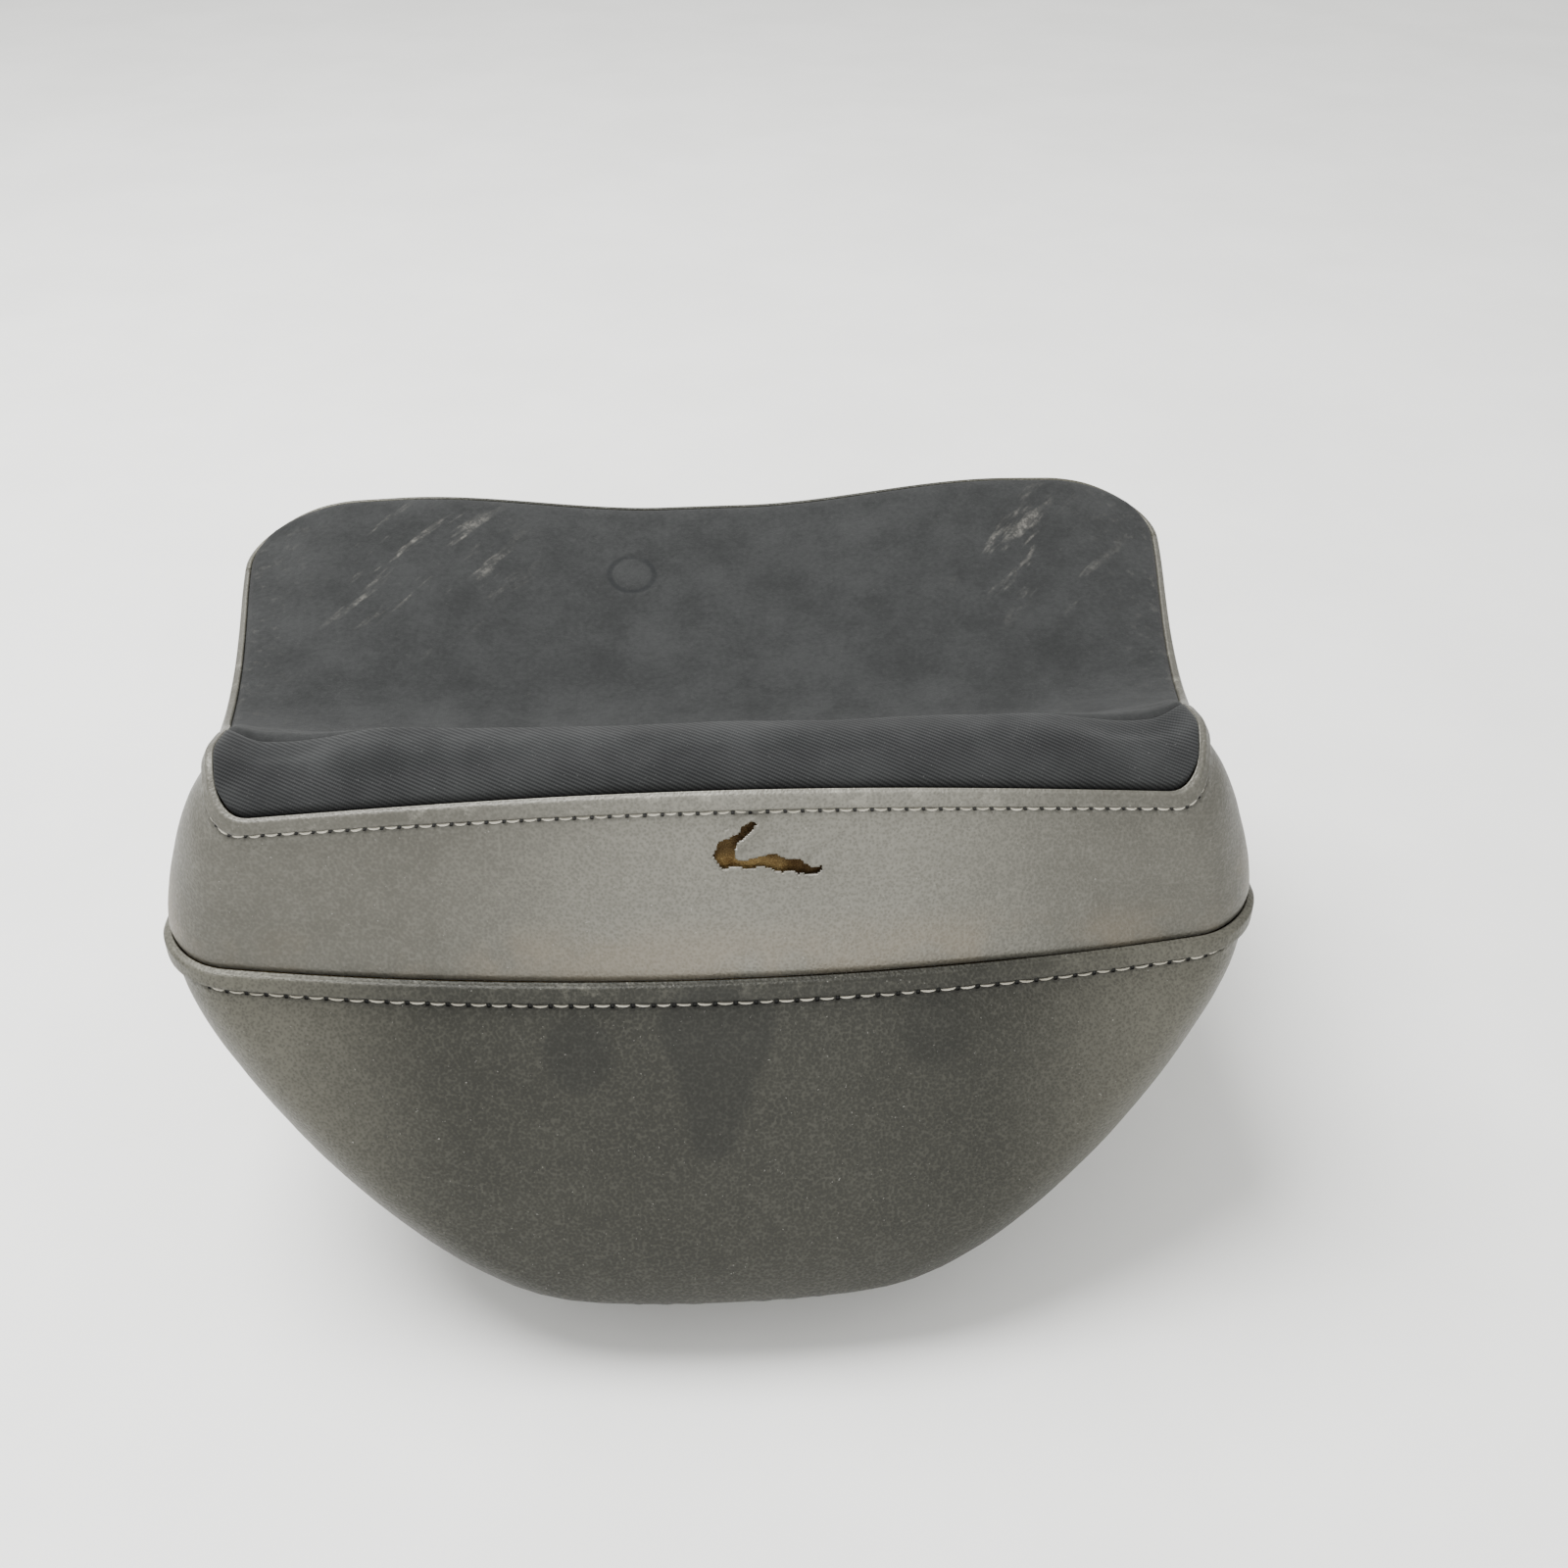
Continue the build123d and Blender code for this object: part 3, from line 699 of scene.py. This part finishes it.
def apply_modifiers(piece: bpy.types.Object) -> None:
    """Apply every modifier of a piece."""
    clear_selection()
    bpy.context.view_layer.objects.active = piece
    piece.select_set(True)
    for modifier in list(piece.modifiers):
        bpy.ops.object.modifier_apply(modifier=modifier.name)


def mesh_from_grid(name: str, grid: np.ndarray, seam: Optional[np.ndarray] = None,
                   drop: Optional[np.ndarray] = None, closed: bool = False) -> bpy.types.Object:
    """Make a mesh of quads from a grid of points in millimetres.

    Args:
        name: name of the piece.
        grid: rows and columns of points.
        seam: distance along and across the seam for each point, in millimetres.
        drop: marks points whose faces are left out.
        closed: whether the last column joins the first.
    Returns:
        The new object.
    """
    rows, cols = grid.shape[:2]
    index = np.arange(rows * cols).reshape(rows, cols)
    right = np.roll(index, -1, axis=1) if closed else index[:, 1:]
    left = index if closed else index[:, :-1]
    quads = np.stack([left[:-1], right[:-1], right[1:], left[1:]], axis=-1).reshape(-1, 4)
    if drop is not None:
        gone = drop.reshape(-1)
        quads = quads[~gone[quads].all(axis=1)]
    used = np.unique(quads)
    renumber = np.full(rows * cols, -1)
    renumber[used] = np.arange(len(used))
    mesh = bpy.data.meshes.new(name)
    mesh.from_pydata((grid.reshape(-1, 3)[used] * MM).tolist(), [], renumber[quads].tolist())
    if seam is not None:
        layer = mesh.uv_layers.new(name="seam")
        corners = np.empty(len(mesh.loops), int)
        mesh.loops.foreach_get("vertex_index", corners)
        layer.data.foreach_set("uv", (seam.reshape(-1, 2)[used][corners] * MM).ravel())
    mesh.update()
    piece = bpy.data.objects.new(name, mesh)
    bpy.context.scene.collection.objects.link(piece)
    mesh.polygons.foreach_set("use_smooth", [True] * len(mesh.polygons))
    return piece


def thicken(piece: bpy.types.Object, thickness: float) -> None:
    """Give a sheet its thickness, inwards, with its second finish on the cut edge and the back."""
    shell = piece.modifiers.new("thickness", "SOLIDIFY")
    shell.thickness = thickness * MM
    shell.offset = -1.0
    shell.material_offset = shell.material_offset_rim = 1
    apply_modifiers(piece)


# ---- cover ----------------------------------------------------------------------
@dataclass
class Tear:
    """A torn flap in the front band that shows the foam."""

    # the torn edge, as X and depth below the band's seam
    outline: tuple = ((11.4, 9.6), (8.2, 12.0), (6.0, 14.8), (3.0, 15.8), (0.2, 17.0), (-0.6, 19.6),
                      (-1.8, 21.8), (-0.6, 25.4), (1.6, 28.0), (5.4, 27.2), (10.0, 28.0), (15.0, 27.6),
                      (19.0, 29.2), (25.0, 29.6), (28.6, 31.2), (33.0, 30.4), (35.2, 28.6), (36.8, 28.4),
                      (33.6, 26.6), (30.4, 26.8), (27.6, 24.2), (22.4, 23.4), (19.0, 21.4), (13.6, 22.0),
                      (9.4, 23.8), (6.6, 22.8), (6.4, 19.8), (8.0, 17.4), (10.6, 15.6), (13.9, 11.4))
    scratch: tuple = ((30.0, 24.0), (42.0, 15.0))
    # lowest and highest X and height between which the backing shows
    reveal: tuple = ((-6.0, 170.0), (44.0, 200.0))
    curl: float = 1.3
    reach: float = 5.0

    def distance(self, x: np.ndarray, depth: np.ndarray) -> np.ndarray:
        """Distance to the torn edge, negative inside the tear."""
        pts = np.array(self.outline)
        p = np.stack([x, depth], axis=-1)
        best = np.full(x.shape, 1e9)
        inside = np.zeros(x.shape, bool)
        for a, b in zip(pts, np.roll(pts, -1, axis=0)):
            run = b - a
            t = np.clip(((p - a) @ run) / (run @ run), 0.0, 1.0)
            best = np.minimum(best, np.linalg.norm(p - (a + t[..., None] * run), axis=-1))
            crosses = (a[1] > p[..., 1]) != (b[1] > p[..., 1])
            with np.errstate(divide="ignore", invalid="ignore"):
                at = a[0] + (p[..., 1] - a[1]) * run[0] / (run[1] if run[1] else 1e-9)
            inside ^= crosses & (p[..., 0] < at)
        return np.where(inside, -best, best)


@dataclass
class Cover:
    """The sewn cover: deck, roll, bands, skirts and rear panel."""

    body: Body
    wardrobe: Wardrobe
    tear: Tear = field(default_factory=Tear)
    thickness: float = 1.4
    flap_top: float = 7.0
    flap_belt: float = 7.4
    ridge_top: float = 1.5
    ridge_belt: float = 2.3
    hem: float = 22.0
    side_seam: float = 0.18
    strip_seam: float = -38.0
    deck_across: int = 190
    deck_along: int = 170
    # added to the skirt's distances on the rear cover, which shows no marks below its belt
    rear_shift: float = 100.0
    bands: np.ndarray = field(init=False)
    band_gone: np.ndarray = field(init=False)
    skirts: np.ndarray = field(init=False)
    skirt_gone: np.ndarray = field(init=False)

    def __post_init__(self) -> None:
        """Lay out the bands and the skirts."""
        self.bands, self.band_gone = self.band_rows()
        self.skirts, self.skirt_gone = self.skirt_rows()

    def flap(self, gone: np.ndarray, width: float, ridge: float) -> np.ndarray:
        """Height of a folded seam flap, from its fold to just past its stitching."""
        rise = ease(gone, 0.0, 1.6) * (1.0 - ease(gone, width - 1.0, width + 0.5))
        valley = np.exp(-((gone - width - 0.7) / 0.8)**2)
        tail = ease(gone, width + 1.5, width + 14.0) * (1.0 - ease(gone, width + 14.0, width + 40.0))
        return ridge * rise - 0.55 * valley + 0.7 * tail

    def band_rows(self) -> tuple[np.ndarray, np.ndarray]:
        """Grid of the bands, from the deck's edge down to the belt."""
        edge = self.body.edge()
        fractions = np.linspace(0.0, 1.0, 90)
        rows = np.stack([self.body.ring(edge[:, 2] + (self.body.belt - edge[:, 2]) * k) for k in fractions])
        top = [0.0, 0.35, 0.8, 1.4, 2.2, 3.4, 4.4, 5.1, 5.6, 6.1, 6.6, 7.1, 7.7, 8.4, 9.2]
        fine = list(np.arange(10.0, 30.5, 0.7))

        def stations(length: float) -> np.ndarray:
            """Distances below the seam, close together over the flap and the tear."""
            rest = np.linspace(31.5, length, 14)
            return np.concatenate([top, fine, rest])

        grid, gone = resample(rows, stations)
        normal = -grid_normals(grid)
        height = self.flap(gone, self.flap_top, self.ridge_top)
        left = grid_length(grid) - gone
        height = height - 0.8 * np.exp(-(left / 1.6)**2) + 0.35 * ripple(grid, 70.0, 3) * ease(gone, 8, 20)
        height = height + 0.10 * ripple(grid, 16.0, 4) * ease(gone, 7, 12)
        return self.body.settle(grid + normal * height[..., None]), gone

    def skirt_rows(self) -> tuple[np.ndarray, np.ndarray]:
        """Grid of the skirts, from the belt down and in under the pan."""
        body = self.body
        heights = np.linspace(body.belt, body.bottom, 70)
        rows = [body.ring(z) for z in heights]
        for turn in np.linspace(0.15, 1.0, 6):
            p = body.ring(body.bottom, 2.2 * (1 - math.cos(turn * math.pi / 2)))
            p[:, 2] = body.bottom - 1.6 * math.sin(turn * math.pi / 2)
            rows.append(p)
        for inset in np.linspace(3.5, self.hem, 7):
            p = body.ring(body.bottom, inset)
            p[:, 2] = body.bottom - 1.6
            rows.append(p)
        top = [0.0, 0.3, 0.8, 1.5, 2.6, 4.0, 5.4, 6.4, 7.0, 7.5, 8.0, 8.6, 9.3, 10.2]

        def stations(length: float) -> np.ndarray:
            """Distances below the belt, close together over the flap."""
            return np.concatenate([top, np.linspace(12.0, length, 56)])

        grid, gone = resample(np.stack(rows), stations)
        normal = -grid_normals(grid)
        fade = ease(grid[..., 2], body.bottom, 60.0)
        height = self.flap(gone, self.flap_belt, self.ridge_belt) * fade
        waves = 0.55 * ripple(grid, 90.0, 8) + 0.10 * ripple(grid, 18.0, 9)
        height = height + waves * fade * ease(gone, 8, 22)
        return body.settle(grid + normal * height[..., None]), gone

    def sew(self, name: str, node: str, grid: np.ndarray, gone: np.ndarray, start: int, stop: int,
            finish: Finish, drop: Optional[np.ndarray] = None) -> None:
        """Make one panel from the columns of a grid.

        Args:
            name: name of the panel.
            node: CAD node that it stands for.
            grid: rows and columns of the whole cover.
            gone: distance from the panel's upper seam.
            start: first column.
            stop: last column.
            finish: the vinyl it is cut from, whose name is its material slot.
            drop: marks points that are torn out.
        """
        pick = np.arange(start, stop + 1) % grid.shape[1]
        part = grid[:, pick]
        line = stitch_line(grid, gone, finish.value.stitch_at)
        along = line_length(line)[np.arange(start, stop + 1)]
        seam = np.stack([np.broadcast_to(along, part.shape[:2]), gone[:, pick]], axis=-1)
        piece = mesh_from_grid(name, part[::-1], seam[::-1], None if drop is None else drop[:, pick][::-1])
        self.wardrobe.dress(piece, finish, *([] if drop is None else [Finish.BACKING]))
        thicken(piece, self.thickness)
        if drop is not None:
            self.face_seams(piece)
        self.settle_piece(piece, node)

    def face_seams(self, piece: bpy.types.Object) -> None:
        """Keep the backing cloth to the tear, so that folded seams show no cut edge."""
        low, high = (np.array(v) * MM for v in self.tear.reveal)
        for face in piece.data.polygons:
            x, _, z = face.center
            if face.material_index and not (low[0] < x < high[0] and low[1] < z < high[1]):
                face.material_index = 0

    def settle_piece(self, piece: bpy.types.Object, node: str) -> None:
        """Hand a padded piece to the frame."""
        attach(piece, SEAT_BODY)
        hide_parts(node)
        LOG.info("%s: %d faces", piece.name, len(piece.data.polygons))

    def side_column(self, first: int, rising: bool, fraction: float) -> int:
        """Column nearest a fraction of the way from front to rear along a side."""
        step = round(fraction * (self.body.along_steps + 1)) - 1
        return first + (step if rising else self.body.along_steps - 1 - step)

    def make_sides(self) -> None:
        """Bands, skirts and the rear panel."""
        body = self.body
        left = self.side_column(body.left_side, False, self.side_seam)
        right = self.side_column(body.right_side, True, self.side_seam)
        torn, lifted = self.open_tear(self.bands, self.band_gone)
        self.sew("front_band_cover", "front_band", lifted, self.band_gone, left, right, Finish.BAND, torn)
        self.sew("front_skirt_cover", "front_skirt", self.skirts, self.skirt_gone, left, right, Finish.SKIRT)
        for side, first, last in (("left", body.left_side, left), ("right", right, len(body.columns))):
            self.sew(f"side_band_cover_{side}", f"side_band_{side}", self.bands, self.band_gone,
                     first, last, Finish.BAND)
            self.sew(f"side_skirt_cover_{side}", f"side_skirt_{side}", self.skirts, self.skirt_gone,
                     first, last, Finish.SKIRT)
        whole = np.concatenate([self.bands, self.skirts[1:]])
        down = np.concatenate([self.band_gone, self.skirt_gone[1:] + self.rear_shift])
        self.sew("rear_cover", "rear_panel", whole, down, 0, body.left_side, Finish.SKIRT)

    def open_tear(self, grid: np.ndarray, gone: np.ndarray) -> tuple[np.ndarray, np.ndarray]:
        """Mark the torn hole in the band and curl its lips.

        Args:
            grid: points of the bands.
            gone: distance below the band's seam.
        Returns:
            Marks of the points inside the hole, and the grid with curled lips.
        """
        x = grid[..., 0]
        front = (grid[..., 1] < -40.0)
        rag = 0.34 * ripple(grid, 2.2, 21) + 0.22 * ripple(grid, 1.1, 22)
        away = self.tear.distance(x, gone) + rag
        torn = (away < 0.0) & front
        lip = np.clip(1.0 - np.abs(away) / self.tear.reach, 0.0, 1.0)**2
        upper = ease(24.0 - gone, -4.0, 4.0)
        rise = np.where(front, lip * (self.tear.curl * (0.35 + upper)), 0.0)
        (xa, da), (xb, db) = self.tear.scratch
        along = np.clip(((x - xa) * (xb - xa) + (gone - da) * (db - da)) / ((xb - xa)**2 + (db - da)**2), 0, 1)
        off = np.hypot(x - xa - along * (xb - xa), gone - da - along * (db - da))
        rise = rise - np.where(front, 0.45 * np.exp(-(off / 0.8)**2), 0.0)
        return torn, grid - grid_normals(grid) * rise[..., None]

    def make_deck(self) -> None:
        """The deck panel and the roll strip in front of it."""
        grid, gone, seam_row = self.deck_rows()
        for name, rows, finish, slot, node in (
                ("roll_cover", slice(0, seam_row + 1), Finish.TWILL, "strip_fabric", "roll_strip"),
                ("deck_cover", slice(seam_row, None), Finish.SUEDE, "deck_fabric", "deck_panel")):
            part = grid[rows]
            along = np.broadcast_to(part[0, :, 0], part.shape[:2])
            seam = np.stack([along, gone[rows]], axis=-1)
            piece = mesh_from_grid(name, part, seam)
            self.wardrobe.dress(piece, finish)
            thicken(piece, self.thickness)
            self.settle_piece(piece, node)

    def deck_rows(self) -> tuple[np.ndarray, np.ndarray, int]:
        """Lay out the deck inside the edge.

        Returns:
            Points in rows from front to rear, their distances from the edge, and the seam's row.
        """
        body = self.body
        edge = body.edge()
        half = body.arc_steps // 2

        def run(start: int, stop: int, fractions: np.ndarray) -> np.ndarray:
            """Points of the edge at fractions of the way from one column to another."""
            pts = edge[np.arange(start, stop + 1) % len(edge)]
            gone = line_length(pts)
            return np.stack([np.interp(fractions * gone[-1], gone, pts[:, k]) for k in range(3)], axis=1)

        across = spread_ends(self.deck_across)
        along = spread_ends(self.deck_along)
        front = run(body.front_left + half, body.front_right + half, across)
        right = run(body.front_right + half, len(edge) + half, along)
        rear = run(half, body.left_start + half, across)[::-1]
        left = run(body.left_start + half, body.front_left + half, along)[::-1]
        u, v = across[None, :, None], along[:, None, None]
        sides = left[:, None] * (1 - u) + right[:, None] * u
        ends = front[None] * (1 - v) + rear[None] * v
        front_line, rear_line = (row[0] * (1 - u) + row[-1] * u for row in (front, rear))
        grid = sides + ends - (front_line * (1 - v) + rear_line * v)
        grid[..., 2] = body.deck(grid[..., 0], grid[..., 1])
        rim = np.minimum.reduce([
            np.broadcast_to(np.linalg.norm(grid - front[None], axis=2), grid.shape[:2]),
            np.linalg.norm(grid - rear[None], axis=2),
            np.linalg.norm(grid - left[:, None], axis=2), np.linalg.norm(grid - right[:, None], axis=2)])
        middle = grid.shape[1] // 2
        seam_row = int(np.argmin(np.abs(grid[:, middle, 1] - self.strip_seam)))
        seam_line = grid[seam_row]
        off_seam = np.linalg.norm(grid - seam_line[None], axis=2)
        crease = -2.6 * np.exp(-(off_seam / 1.5)**2) + 0.9 * np.exp(-((off_seam - 6.0) / 5.0)**2)
        tuck = -2.0 * np.exp(-(rim / 1.5)**2) + 0.6 * np.exp(-((rim - 6.0) / 5.0)**2)
        soft = 0.6 * ripple(grid, 85.0, 31) + 0.12 * ripple(grid, 22.0, 32)
        height = crease * ease(rim, 0.0, 6.0) + tuck + soft * ease(rim, 2.0, 18.0)
        height = height - self.ring_print(grid) - body.worn_ends(grid[..., 0], grid[..., 1])
        normal = grid_normals(grid)
        normal[normal[..., 2] < 0] *= -1
        return body.settle(grid + normal * height[..., None]), rim, seam_row

    def ring_print(self, grid: np.ndarray) -> np.ndarray:
        """Depth of a round mark pressed into the deck."""
        suede = Finish.SUEDE.value
        far = np.hypot(grid[..., 0] - suede.ring_at[0], grid[..., 1] - suede.ring_at[1])
        return 0.5 * np.exp(-((far - suede.ring_radius) / 1.1)**2)


def spread_ends(count: int) -> np.ndarray:
    """Fractions from 0 to 1 that crowd towards both ends."""
    t = np.linspace(0.0, 1.0, count)
    return 0.55 * t + 0.45 * (1.0 - np.cos(math.pi * t)) / 2.0


def stitch_line(grid: np.ndarray, gone: np.ndarray, at: float) -> np.ndarray:
    """Points once round the cover at one distance from a seam."""
    count = grid.shape[1]
    return np.array([[np.interp(at, gone[:, c % count], grid[:, c % count, k]) for k in range(3)]
                     for c in range(count + 1)])


def grid_length(grid: np.ndarray) -> np.ndarray:
    """Length of each column of a grid."""
    return np.linalg.norm(np.diff(grid, axis=0), axis=2).sum(axis=0)[None]


# ---- thread ---------------------------------------------------------------------
@dataclass
class Stitching:
    """Rows of top stitching, each stitch a short sunk length of thread."""

    wardrobe: Wardrobe
    shown: float = 0.76
    radius: float = 0.48
    bow: float = 0.28

    def pattern(self) -> tuple[np.ndarray, list]:
        """One stitch of unit length along X, shaped from a small sphere.

        Returns:
            Its points, in millimetres across, and its faces.
        """
        clear_selection()
        bpy.ops.mesh.primitive_uv_sphere_add(segments=8, ring_count=6, radius=1.0)
        ball = bpy.context.object
        bpy.ops.object.mode_set(mode="EDIT")
        bpy.ops.mesh.select_all(action="SELECT")
        bpy.ops.transform.rotate(value=math.radians(90), orient_axis="Y", center_override=(0.0, 0.0, 0.0))
        bpy.ops.object.mode_set(mode="OBJECT")
        points = np.array([v.co for v in ball.data.vertices])
        faces = [list(p.vertices) for p in ball.data.polygons]
        bpy.data.objects.remove(ball)
        swell = np.abs(points[:, 0])
        points[:, 0] = np.sign(points[:, 0]) * swell**0.8 / 2
        points[:, 1] = points[:, 1] * self.radius - self.bow * (1.0 - swell**2)
        points[:, 2] = points[:, 2] * self.radius * 0.9 - 0.55 * self.radius * (swell**2.2)
        return points, faces

    def row(self, name: str, line: np.ndarray, normals: np.ndarray, pitch: float, seed: int) -> None:
        """Sew a row of stitches along a line.

        Args:
            name: name of the row.
            line: points along it, in millimetres.
            normals: way out of the surface at each point.
            pitch: distance between stitches in millimetres.
            seed: choice of unevenness.
        """
        rng = np.random.default_rng(seed)
        shape, faces = self.pattern()
        gone = line_length(line)
        count = int(gone[-1] / pitch)
        points, all_faces = [], []
        for k in range(count):
            ends = (k + 0.5 + np.array([-0.5, 0.5]) * self.shown) * pitch
            a, b, up = (np.array([np.interp(at, gone, src[:, i]) for i in range(3)])
                        for at, src in ((ends[0], line), (ends[1], line), (ends.mean(), normals)))
            heading = (b - a) / np.linalg.norm(b - a)
            side = np.cross(up, heading)
            side /= np.linalg.norm(side)
            up = np.cross(heading, side)
            tilt = rng.normal(0.0, 0.05)
            heading = heading + side * tilt
            base = (a + b) / 2 + up * (0.12 + rng.normal(0, 0.05)) + side * rng.normal(0, 0.10)
            stretch = rng.normal(1.0, 0.04) * self.shown * pitch
            start = len(points) * len(shape)
            points.append(base + shape[:, :1] * stretch * heading + shape[:, 1:2] * side + shape[:, 2:3] * up)
            all_faces += [[start + i for i in f] for f in faces]
        mesh = bpy.data.meshes.new(name)
        mesh.from_pydata((np.concatenate(points) * MM).tolist(), [], all_faces)
        mesh.polygons.foreach_set("use_smooth", [True] * len(mesh.polygons))
        piece = bpy.data.objects.new(name, mesh)
        bpy.context.scene.collection.objects.link(piece)
        self.wardrobe.dress(piece, Finish.THREAD)
        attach(piece, SEAT_BODY)
        LOG.info("%s: %d stitches", name, count)

    def sew(self, cover: Cover) -> None:
        """Stitch the bands under the deck's edge and the skirts under the belt."""
        for name, grid, gone, finish, seed in (
                ("deck_edge_stitching", cover.bands, cover.band_gone, Finish.BAND, 51),
                ("belt_stitching", cover.skirts, cover.skirt_gone, Finish.SKIRT, 52)):
            at, pitch = finish.value.stitch_at, finish.value.pitch
            normal = -grid_normals(grid)
            columns = range(grid.shape[1] + 1)
            line = stitch_line(grid, gone, at)
            row = int(np.argmin(np.abs(gone[:, 0] - at)))
            ups = np.array([normal[row, c % grid.shape[1]] for c in columns])
            self.row(name, line, ups, pitch, seed)


# ---- foam -----------------------------------------------------------------------
@dataclass
class FoamBlock:
    """The moulded foam inside the cover."""

    body: Body
    wardrobe: Wardrobe
    inset: float = 3.2
    slack: float = 2.4
    bottom: float = 33.0
    row_count: int = 40
    # where the rings of the top draw together, and the size of the outermost of them
    gather: tuple = (0.0, 20.0)
    outer_ring: float = 0.96
    # size of the ring that closes the underside
    closing_ring: float = 0.001

    def make(self) -> None:
        """Build the foam as one closed, slightly rough form."""
        body = self.body
        edge = body.edge()
        high = edge[:, 2] - self.inset - self.slack - body.worn_ends(edge[:, 0], edge[:, 1])
        rows = [body.ring(self.bottom + (high - self.bottom) * k, self.inset)
                for k in np.linspace(0.0, 1.0, self.row_count)]
        top, middle = rows[-1], np.array(self.gather)
        for shrink in np.linspace(self.outer_ring, 0.0, self.row_count):
            p = top.copy()
            p[:, :2] = middle + (p[:, :2] - middle) * shrink
            sunk = body.worn_ends(p[:, 0], p[:, 1])
            p[:, 2] = body.deck(p[:, 0], p[:, 1]) - sunk - self.inset - self.slack
            rows.append(p)
        closing = rows[0].copy()
        closing[:, :2] *= self.closing_ring
        grid = np.stack([closing, rows[0]] + rows)
        grid = grid + 0.25 * ripple(grid, 4.0, 61)[..., None] * grid_normals(grid)
        piece = mesh_from_grid("foam_block", body.settle(grid), closed=True)
        weld = piece.modifiers.new("weld", "WELD")
        weld.merge_threshold = 0.0004
        apply_modifiers(piece)
        self.wardrobe.dress(piece, Finish.FOAM)
        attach(piece, SEAT_BODY)
        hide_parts("foam_core")
        LOG.info("foam_block: %d faces", len(piece.data.polygons))


# ---- fittings -------------------------------------------------------------------
@dataclass
class Fittings:
    """Finishes of the moulded and metal pieces under the seat."""

    wardrobe: Wardrobe
    finishes: dict = field(default_factory=lambda: {
        "base_pan": Finish.PAN, "bumper_front_left": Finish.RUBBER, "bumper_front_right": Finish.RUBBER,
        "bumper_rear_left": Finish.RUBBER, "bumper_rear_right": Finish.RUBBER,
        "hinge_seat_bracket": Finish.BLACK_STEEL, "hinge_frame_bracket": Finish.BLACK_STEEL,
        "striker_plate": Finish.BLACK_STEEL, "hinge_pin": Finish.ZINC, "hinge_washer": Finish.ZINC,
        "hinge_clip": Finish.ZINC, "hinge_screws": Finish.ZINC, "striker_bar": Finish.ZINC,
        "striker_screws": Finish.ZINC, "cover_staples": Finish.ZINC, "hinge_inserts": Finish.BRASS,
        "striker_inserts": Finish.BRASS, "hinge_bushes": Finish.NYLON})

    def dress(self) -> None:
        """Give every carried-over node its finish."""
        for node, finish in self.finishes.items():
            self.wardrobe.dress(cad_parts[node], finish)
            LOG.info("%s: %s", node, finish.name.lower())


# ---- studio ---------------------------------------------------------------------
@dataclass
class Studio:
    """Camera, pale floor and soft lights."""

    stand: tuple = (-1.5, -456.9, 508.8)
    down: float = 38.0
    turned: float = 3.5
    roll: float = -0.5
    lens: float = 35.3
    # each light's name, place and width in metres, and power in watts
    lights: tuple = (("key", (-0.7, 0.3, 2.0), 1.3, 100.0), ("front", (0.1, -2.1, 0.75), 0.9, 13.0))
    lights_aim: tuple = (0.0, 0.0, 0.1)
    sky: tuple = (1.0, 1.0, 0.98, 1.0)
    sky_strength: float = 1.10

    def camera(self) -> None:
        """Place the camera in front of the seat and above it."""
        pitch, yaw, roll = (math.radians(v) for v in (self.down, self.turned, self.roll))
        ahead = Vector((math.sin(yaw) * math.cos(pitch), math.cos(yaw) * math.cos(pitch), -math.sin(pitch)))
        right = Vector((math.cos(yaw), -math.sin(yaw), 0.0))
        up = right.cross(ahead)
        right, up = (right * math.cos(roll) - up * math.sin(roll),
                     right * math.sin(roll) + up * math.cos(roll))
        data = bpy.data.cameras.new("camera")
        data.lens = self.lens
        data.sensor_width = 36.0
        camera = bpy.data.objects.new("camera", data)
        bpy.context.scene.collection.objects.link(camera)
        turn = Matrix((right, up, -ahead)).transposed().to_4x4()
        camera.matrix_world = Matrix.Translation(Vector(self.stand) * MM) @ turn
        bpy.context.scene.camera = camera

    def floor(self) -> None:
        """Pale floor under the seat."""
        clear_selection()
        bpy.ops.mesh.primitive_plane_add(size=8.0, location=(0.0, 0.0, 0.0))
        plane = bpy.context.object
        plane.name = "floor"
        s = Shader("pale_floor")
        tone = s.noise(6.0, 5.0, 0.6)
        base = s.mix(tone.ramp(0.3, 0.7), (0.84, 0.84, 0.82), (0.89, 0.89, 0.87))
        plane.data.materials.append(s.finish({"Roughness": 0.6}, {"Base Color": base}))

    def light(self, name: str, place: Sequence[float], size: float, power: float) -> None:
        """Add a soft area light that faces the seat."""
        data = bpy.data.lights.new(name, "AREA")
        data.shape = "DISK"
        data.size = size
        data.energy = power
        lamp = bpy.data.objects.new(name, data)
        lamp.location = place
        aim = Vector(self.lights_aim) - Vector(place)
        lamp.rotation_euler = aim.to_track_quat("-Z", "Y").to_euler()
        bpy.context.scene.collection.objects.link(lamp)

    def build(self) -> None:
        """Set up the whole studio."""
        self.camera()
        self.floor()
        for lamp in self.lights:
            self.light(*lamp)
        world = bpy.data.worlds.new("world")
        world.use_nodes = True
        background = world.node_tree.nodes["Background"]
        background.inputs["Color"].default_value = self.sky
        background.inputs["Strength"].default_value = self.sky_strength
        bpy.context.scene.world = world


def main() -> None:
    """Build the seat around the frame."""
    logging.basicConfig(level=logging.INFO, format="%(name)s: %(message)s")
    Studio().build()
    wardrobe = Wardrobe()
    body = Body()
    cover = Cover(body, wardrobe)
    cover.make_sides()
    cover.make_deck()
    Stitching(wardrobe).sew(cover)
    FoamBlock(body, wardrobe).make()
    Fittings(wardrobe).dress()


if __name__ == "__main__":
    main()
